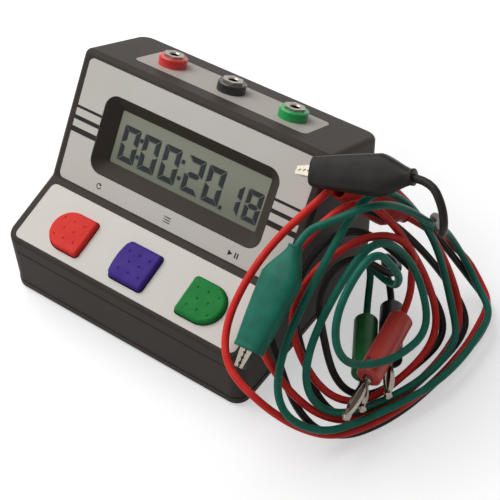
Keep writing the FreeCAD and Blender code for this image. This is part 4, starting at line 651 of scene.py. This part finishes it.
def makeKeyCap(colour):
    # Rings that shrink from the outline to the middle carry the top; below them stand the wall
    # and the flange that keeps the key in its well
    size = keyCaps
    ring = keyOutline(colour)
    centre = (ring.min(0) + ring.max(0)) / 2
    inwards = np.linspace(0, 1, size["rings"]) ** size["crowding"]
    shrink = np.append(1 - inwards * size["ringReach"], size["innermost"])
    rings = centre + (ring - centre) * shrink[:, None, None]
    height = keyTop(colour, ring, rings)
    along = np.roll(ring, -1, 0) - np.roll(ring, 1, 0)
    outwards = np.stack([along[:, 1], -along[:, 0]], 1) / np.linalg.norm(along, axis=1)[:, None]
    grown = ring + outwards * size["flange"]
    under = -size["floor"] + size["flangeThickness"]
    levels = [(rings[k], height[k]) for k in range(len(shrink) - 1, -1, -1)]
    levels += [(ring, under), (grown, under), (grown, -size["floor"]), (ring, -size["floor"]),
               (centre + (ring - centre) * size["innermost"], -size["floor"])]
    across = np.concatenate([level[:, 0] for level, rise in levels])
    up = np.concatenate([level[:, 1] for level, rise in levels])
    out = np.concatenate([np.broadcast_to(rise, len(level)) for level, rise in levels])
    piece = meshPiece(f"keyCap_{colour}", onFace("keypad", across, up, out),
                      ringFaces(len(levels), size["around"]), keyRubber[colour])

    def creaseEdges(work):
        for side in work.edges:
            side.smooth = side.calc_face_angle(0) < math.radians(size["crease"])

    editMesh(piece, fillEnds, faceOutwards, creaseEdges)
    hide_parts(f"key_{colour}")
    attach(piece, f"key_{colour}")


for colour in keyRubber:
    makeKeyCap(colour)
print("keys moulded")


keyMat = {
    "half": 48.0, "low": 3.6, "length": 22.0, "bottom": -7.0, "thickness": 0.8,
    "postEdge": 3.2, "postHole": 2.7, "around": 48,
    # Each dome as (radius, height over the sheet), from the roof inside to the top outside
    "dome": ((0.0, 1.4), (2.05, 1.4), (3.8, 0.0), (4.5, 0.0), (2.75, 2.1), (0.0, 2.1)),
    "kept": 0.55,  # of a dome's height, under a pressed key
}


def makeMatSheet():
    # The flat sheet, with a hole for each post: outline and holes filled, then thickened
    size = keyMat
    centreUp = size["low"] + size["length"] / 2
    loops = [rectangleOutline(-size["half"], size["low"], size["half"],
                              size["low"] + size["length"])]
    for x in (-keyCaps["pitch"] / 2, keyCaps["pitch"] / 2):
        for step in (-1, 1):
            centre = (x, centreUp + step * (size["length"] / 2 - size["postEdge"]))
            loops.append(arcPoints(centre, size["postHole"], 0, 360, size["around"] + 1)[:-1])
    work = bmesh.new()
    for loop in loops:
        corners = [work.verts.new(onFace("keypad", x, y, size["bottom"])) for x, y in loop]
        for first, second in zip(corners, corners[1:] + corners[:1]):
            work.edges.new((first, second))
    bmesh.ops.triangle_fill(work, edges=work.edges[:], use_beauty=True)
    lifted = bmesh.ops.extrude_face_region(work, geom=work.faces[:])
    rise = Vector(onFace("keypad", 0, 0, size["thickness"]) - onFace("keypad", 0, 0, 0))
    bmesh.ops.translate(work, vec=rise, verts=[v for v in lifted["geom"]
                                               if isinstance(v, bmesh.types.BMVert)])
    faceOutwards(work)
    mesh = bpy.data.meshes.new("keyMatSheet")
    work.to_mesh(mesh)
    work.free()
    mesh.materials.append(siliconeRubber)
    sheet = linkObject("keyMatSheet", mesh)
    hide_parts("key_mat")
    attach(sheet, "timer")


def makeDome(colour, x):
    # A hollow cone under its key
    size = keyMat
    base = size["bottom"] + size["thickness"]
    points = []
    for radius, height in size["dome"]:
        ring = arcPoints((x, keyCaps["centre"]), radius, 0, 360, size["around"] + 1)[:-1]
        points.append(onFace("keypad", ring[:, 0], ring[:, 1], base + height))
    dome = meshPiece(f"keyDome_{colour}", np.concatenate(points),
                     ringFaces(len(points), size["around"]), siliconeRubber, smooth=False)
    editMesh(dome, mergePoles, faceOutwards)
    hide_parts("key_mat")
    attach(dome, "timer")
    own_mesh(dome)


makeMatSheet()
for step, colour in enumerate(keyRubber, -1):
    makeDome(colour, step * keyCaps["pitch"])
print("key mat laid")


# Leads: clips, boots, plugs and their cords

# Places in millimetres; side says how each clip or plug is turned about its own length
clips = {
    "red": {"nose": (62.2, 8.9, 80.7), "cordEnd": (80.6, 39.0, 44.8),
            "side": (-0.06, -0.54, -0.49)},
    "black": {"nose": (52.6, 2.0, 85.3), "cordEnd": (97.2, 6.1, 102.7),
              "side": (-0.2, 0.8, 0.65)},
    "green": {"nose": (69.6, -61.6, 48.0), "cordEnd": (66.5, -19.6, 74.0),
              "side": (1.0, 0.1, 0.1)},
}
plugs = {
    "red": {"cordEnd": (96.8, 9.1, 22.4), "tip": (103.2, -43.2, 21.4),
            "side": (-0.5, -0.2, 0.85)},
    "black": {"cordEnd": (85.2, 23.3, 6.8), "tip": (110.7, -24.3, 16.2),
              "side": (0.5, 0.0, 0.85)},
    "green": {"cordEnd": (79.9, 11.4, 6.5), "tip": (106.6, -36.8, 17.4),
              "side": (-0.9, -0.2, 0.4)},
}
clipReach = 25.0  # from the hinge pin to the nose


def clipPlace(colour):
    # The clip's frame in millimetres: its origin on the hinge pin, x to the nose, z to the upper jaw
    nose, cordEnd = (np.array(clips[colour][k], float) for k in ("nose", "cordEnd"))
    along = (nose - cordEnd) / np.linalg.norm(nose - cordEnd)
    return axesOf(nose - clipReach * along, nose, clips[colour]["side"])


def plugPlace(colour):
    # The plug's frame: its origin where the cord goes in, x to the pin's tip
    return axesOf(plugs[colour]["cordEnd"], plugs[colour]["tip"], plugs[colour]["side"])


# The heap the cords lie in: nearly as high as the case at the back, and falling to the front and
# to the bench on the right
heap = {
    "level": 68.5, "fall": 0.755, "cap": 71.5, "capBlend": 4.0, "floorBlend": 6.0,
    "near": 65.0, "farFront": 101.0, "farBack": 114.0, "front": -45.0, "depth": 45.0,
    "bumpX": 71.0, "bumpY": 12.0, "bumpSpread": 11.0,
    # The turns keep off the case's right side, which is the fence, from its front edge back
    "fence": 62.6, "fenceBlend": 1.5, "fenceFront": -7.0, "fenceDepth": 8.0,
    # A coil that has a rise climbs by it over its last turns
    "climbBefore": 1.05, "climbOver": 0.4,
}
cordSizes = {
    "diameter": 3.0, "pointsPerTurn": 24, "clipRun": 2.0, "coilRun": 3.0, "plugRun": 3.0,
    "bootEnd": 23.0, "bootHold": 5.0, "plugBore": 9.0, "stepsAlong": 6, "stepsAround": 6,
    # Small steps that slopes and directions are measured over, in millimetres and in turns
    "slopeStep": 0.05, "turnStep": 0.001,
}
# Drift and shrink are per turn, heading and phase are in radians, first and last count turns, and
# layer is how high the cord's middle lies on the heap
coils = {
    "black": {"centre": (90.113, -2.249), "drift": (0.741, -0.638), "halfLength": 53.955,
              "halfWidth": 27.561, "heading": 1.174, "shrink": -0.208, "phase": -0.317,
              "egg": (0.102, 0.008), "layer": 2.2, "rise": 0.0, "bump": 0.0,
              "first": -0.13, "last": 2.74},
    "red": {"centre": (84.118, -7.866), "drift": (2.21, -1.489), "halfLength": 61.887,
            "halfWidth": 31.121, "heading": 1.144, "shrink": -0.213, "phase": -0.45,
            "egg": (0.052, -0.024), "layer": 6.1, "rise": 0.0, "bump": 7.5,
            "first": 0.0, "last": 2.66},
    "green": {"centre": (96.173, -1.965), "drift": (0.295, -4.537), "halfLength": 55.867,
              "halfWidth": 23.146, "heading": 1.325, "shrink": -0.276, "phase": -0.782,
              "egg": (-0.087, -0.003), "layer": 10.1, "rise": 11.0, "bump": 7.5,
              "first": -0.1, "last": 2.74},
}
# Points of the free stretches: clip to coil, then coil to plug
frontRoutes = {
    "red": [(88.6, 46.4, 34.4), (100.5, 55.7, 19.4), (110.7, 53.9, 8.1)],
    "black": [(112.2, 0.2, 100.7), (114.0, -0.7, 88.7), (105.1, 13.1, 75.9),
              (101.9, 24.0, 67.8), (90.1, 40.6, 51.0)],
    "green": [(72.8, -8.9, 79.1), (84.0, 1.5, 85.9), (89.2, 16.4, 75.2), (97.0, 32.1, 53.9),
              (94.4, 46.4, 39.3)],
}
rearRoutes = {
    "red": [(87.7, 15.6, 59.5), (95.1, 19.1, 49.4), (93.3, 20.6, 40.2)],
    "black": [(88.1, 22.4, 35.9), (72.1, 34.5, 23.1)],
    "green": [(92.9, 7.0, 39.9), (66.7, 21.6, 32.1), (70.4, 31.1, 18.9)],
}


def softFloor(value, blend):
    # The value where it is above nothing and nothing below, rounded off over the blend. The clip
    # only keeps the exponential in range
    return blend * np.log1p(np.exp(np.clip(value / blend, -40, 40)))


def heapHeight(x, y, bump):
    # A capped slope that climbs towards the back, with a bell-shaped bump, rolled off to the bench
    # between the case and the far side
    level = heap["cap"] - softFloor(heap["cap"] - heap["level"] - heap["fall"] * y,
                                    heap["capBlend"])
    away = ((x - heap["bumpX"]) ** 2 + (y - heap["bumpY"]) ** 2) / heap["bumpSpread"] ** 2
    level = softFloor(level, heap["floorBlend"]) + bump * np.exp(-away / 2)
    far = heap["farFront"] + (heap["farBack"] - heap["farFront"]) * smoothStep(
        (y - heap["front"]) / heap["depth"])
    return level * smoothStep((far - x) / (far - heap["near"]))


def coilPoints(coil, turn):
    # An egg-shaped spiral in plan that shrinks turn by turn, laid on the heap in its layer
    angle = 2 * np.pi * turn - coil["phase"]
    even, odd = coil["egg"]
    shape = (1 + coil["shrink"] * turn) * (1 + even * np.cos(3 * angle) + odd * np.sin(3 * angle))
    along = coil["halfLength"] * shape * np.cos(angle)
    aside = -coil["halfWidth"] * shape * np.sin(angle)
    heading = coil["heading"]
    x = (coil["centre"][0] + coil["drift"][0] * turn
         + along * np.cos(heading) - aside * np.sin(heading))
    y = (coil["centre"][1] + coil["drift"][1] * turn
         + along * np.sin(heading) + aside * np.cos(heading))
    held = smoothStep((y - heap["fenceFront"]) / heap["fenceDepth"])
    x = x + held * (heap["fence"] + softFloor(x - heap["fence"], heap["fenceBlend"]) - x)
    climb = smoothStep((turn - coil["last"] + heap["climbBefore"]) / heap["climbOver"])
    layer = coil["layer"] + coil["rise"] * climb
    step, bump = cordSizes["slopeStep"], coil["bump"]
    leanX = (heapHeight(x + step, y, bump) - heapHeight(x - step, y, bump)) / (2 * step)
    leanY = (heapHeight(x, y + step, bump) - heapHeight(x, y - step, bump)) / (2 * step)
    lean = np.sqrt(1 + leanX ** 2 + leanY ** 2)
    return np.stack([x, y, heapHeight(x, y, bump) + layer * lean], -1)


def cordRoute(colour):
    # Boot, free stretch, turns, free stretch and plug, in millimetres
    coil, size = coils[colour], cordSizes
    diameter = size["diameter"]
    count = round((coil["last"] - coil["first"]) * size["pointsPerTurn"])
    turns = coilPoints(coil, np.linspace(coil["first"], coil["last"], count + 1))
    step = size["turnStep"]
    wayIn = coilPoints(coil, coil["first"] + step) - coilPoints(coil, coil["first"] - step)
    wayOut = coilPoints(coil, coil["last"] + step) - coilPoints(coil, coil["last"] - step)
    wayIn, wayOut = wayIn / np.linalg.norm(wayIn), wayOut / np.linalg.norm(wayOut)
    clip, plug = clipPlace(colour), plugPlace(colour)
    route = [intoFrame((-size["bootEnd"] + size["bootHold"], 0, 0), clip),
             intoFrame((-size["bootEnd"] - size["clipRun"] * diameter, 0, 0), clip)]
    route += [np.array(place) for place in frontRoutes[colour]]
    route += [turns[0] - wayIn * diameter * (1 + size["coilRun"])]
    route += list(turns)
    route += [turns[-1] + wayOut * diameter * (1 + size["coilRun"])]
    route += [np.array(place) for place in rearRoutes[colour]]
    route += [intoFrame((-size["plugRun"] * diameter, 0, 0), plug),
              intoFrame((size["plugBore"], 0, 0), plug)]
    return np.array(route) * mm


def makeCord(colour):
    # A round tube along a curve that the route's points pull towards them
    route = cordRoute(colour)
    curve = bpy.data.curves.new(f"cord_{colour}", "CURVE")
    curve.dimensions = "3D"
    spline = curve.splines.new("NURBS")
    spline.points.add(len(route) - 1)
    spline.points.foreach_set("co", np.column_stack([route, np.ones(len(route))]).ravel())
    spline.order_u = 3
    spline.use_endpoint_u = True
    spline.resolution_u = cordSizes["stepsAlong"]
    curve.bevel_depth = cordSizes["diameter"] / 2 * mm
    curve.bevel_resolution = cordSizes["stepsAround"]
    curve.use_fill_caps = True
    curve.materials.append(vinyl[colour])
    piece = linkObject(f"cord_{colour}", curve)
    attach(piece, "timer")
    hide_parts(f"cord_front_{colour}", f"coil_{colour}", f"cord_rear_{colour}")


boot = {
    "neckEnd": -23.0, "neckRadius": 2.9, "lip": 0.15, "lipLength": 1.0, "lipFade": 0.4,
    "flareStart": -21.8, "shoulder": -10.2, "front": 18.0, "cone": 0.7, "bow": 0.4,
    "shoulderHalf": (4.8, 7.7), "frontHalf": (3.9, 5.4), "squareness": 3.2, "squareRun": 8.0,
    "rim": 0.22, "rimLength": 1.3, "rimFade": 0.8, "ridge": 0.14, "ridgeWidth": 0.035,
    # How deep the inner wall lies, how far it runs back, and its end as a share of the cord
    "inset": 0.91, "innerDepth": 14.0, "innerEnd": 0.6,
    # Rings along the neck, the cone, the body and the inner wall, and points round each ring
    "rings": (8, 26, 34, 12), "around": 96,
    # Forward and up from the hinge, to where the sleeve would wholly follow the upper jaw
    "follow": (2.6, 9.3),
}


def bootHalves(x):
    # Half thickness and half spread along the boot: a round neck, a cone with soft ends that
    # swells to the shoulder, then a long taper to the open front
    size = boot
    neck = size["neckRadius"]
    flare = np.clip((x - size["flareStart"]) / (size["shoulder"] - size["flareStart"]), 0, 1)
    flare = size["cone"] * flare + (1 - size["cone"]) * smoothStep(flare)
    taper = np.clip((x - size["shoulder"]) / (size["front"] - size["shoulder"]), 0, 1)
    halves = []
    for shoulder, front in zip(size["shoulderHalf"], size["frontHalf"]):
        bowed = (1 - size["bow"]) * taper + size["bow"] * taper ** 2
        body = shoulder + (front - shoulder) * bowed
        halves.append(neck + flare * (body - neck))
    return halves


def bootProfile():
    # The path of the rings: out along the skin, over the front rim, back along the inner wall and
    # closed at the cord. Gives their places, their halves and which of them are outside
    size = boot
    neckRings, coneRings, bodyRings, innerRings = size["rings"]
    skin = np.concatenate([np.linspace(size["neckEnd"], size["flareStart"], neckRings)[:-1],
                           np.linspace(size["flareStart"], size["shoulder"], coneRings)[:-1],
                           np.linspace(size["shoulder"], size["front"], bodyRings)])
    inner = np.linspace(size["front"], size["front"] - size["innerDepth"], innerRings)
    along = np.concatenate([[size["neckEnd"]], skin, inner, [inner[-1]]])
    thick, spread = bootHalves(along)
    lip = np.clip((size["neckEnd"] + size["lipLength"] - along) / size["lipFade"], 0, 1)
    rim = smoothStep((along - size["front"] + size["rimLength"]) / size["rimFade"])
    inset = np.where(np.arange(len(along)) > len(skin), size["inset"], 0)
    change = size["lip"] * lip + size["rim"] * rim - inset
    thick, spread = thick + change, spread + change
    cord = cordSizes["diameter"] / 2
    thick[0] = spread[0] = cord
    thick[-1] = spread[-1] = cord * size["innerEnd"]
    return along, thick, spread, inset == 0


def makeBoot(colour):
    # Rings that go from circles at the neck to superellipses, with a moulding ridge on each side
    size = boot
    along, thick, spread, outside = (values[:, None] for values in bootProfile())
    angle = np.linspace(0, 2 * np.pi, size["around"], endpoint=False)
    flare = smoothStep((along - size["flareStart"]) / size["squareRun"])
    power = 2 + (size["squareness"] - 2) * flare
    c, s = np.cos(angle), np.sin(angle)
    reach = (np.abs(c) ** power + np.abs(s) ** power) ** (-1 / power)
    seam = size["ridge"] * flare * np.exp(-(c / size["ridgeWidth"]) ** 2) * outside
    points = np.stack([np.repeat(along, len(angle), 1), thick * reach * c,
                       (spread + seam) * reach * s], 2)
    place = clipPlace(colour)
    piece = meshPiece(f"bootSleeve_{colour}", intoFrame(points.reshape(-1, 3), place) * mm,
                      ringFaces(len(along), len(angle)), vinyl[colour])
    editMesh(piece, fillEnds, faceOutwards)
    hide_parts(f"boot_{colour}")
    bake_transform(piece)


springs = {
    "wire": 0.45, "pitch": 0.6, "radius": 1.285, "turns": 2.5, "arm": 12.0, "lever": 2.725,
    "perTurn": 40, "around": 16,
}


def makeSpring(colour):
    # A helix round the pin, x = r cos a, z = r sin a, with a straight arm out to either lever
    size = springs
    radius = size["radius"]
    lean = math.atan2(size["lever"] - radius, size["arm"])
    turns = size["turns"] - lean / math.pi
    run = np.linspace(0, turns, round(turns * size["perTurn"]) + 1)
    angle = math.pi / 2 - lean - 2 * np.pi * run
    path = np.stack([radius * np.cos(angle), size["pitch"] * (run - turns / 2),
                     radius * np.sin(angle)], 1)
    back, rise = size["arm"] * math.cos(lean), size["arm"] * math.sin(lean)
    path = np.vstack([path[0] + (-back, 0, rise), path, path[-1] + (-back, 0, -rise)])
    along = np.gradient(path, axis=0)
    along /= np.linalg.norm(along, axis=1)[:, None]
    aside = (0, 1, 0) - along[:, 1:2] * along
    aside /= np.linalg.norm(aside, axis=1)[:, None]
    over = np.cross(along, aside)
    around = np.linspace(0, 2 * np.pi, size["around"], endpoint=False)
    points = path[:, None] + size["wire"] / 2 * (aside[:, None] * np.cos(around)[:, None]
                                                 + over[:, None] * np.sin(around)[:, None])
    place = clipPlace(colour)
    spring = meshPiece(f"clipSpring_{colour}", intoFrame(points.reshape(-1, 3), place) * mm,
                       ringFaces(len(path), size["around"]), zincSteel)
    editMesh(spring, fillEnds, faceOutwards)
    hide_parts("clip_springs")
    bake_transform(spring)


for colour in clips:
    makeCord(colour)
    makeBoot(colour)
    makeSpring(colour)
print("cords laid, boots drawn on and springs set")
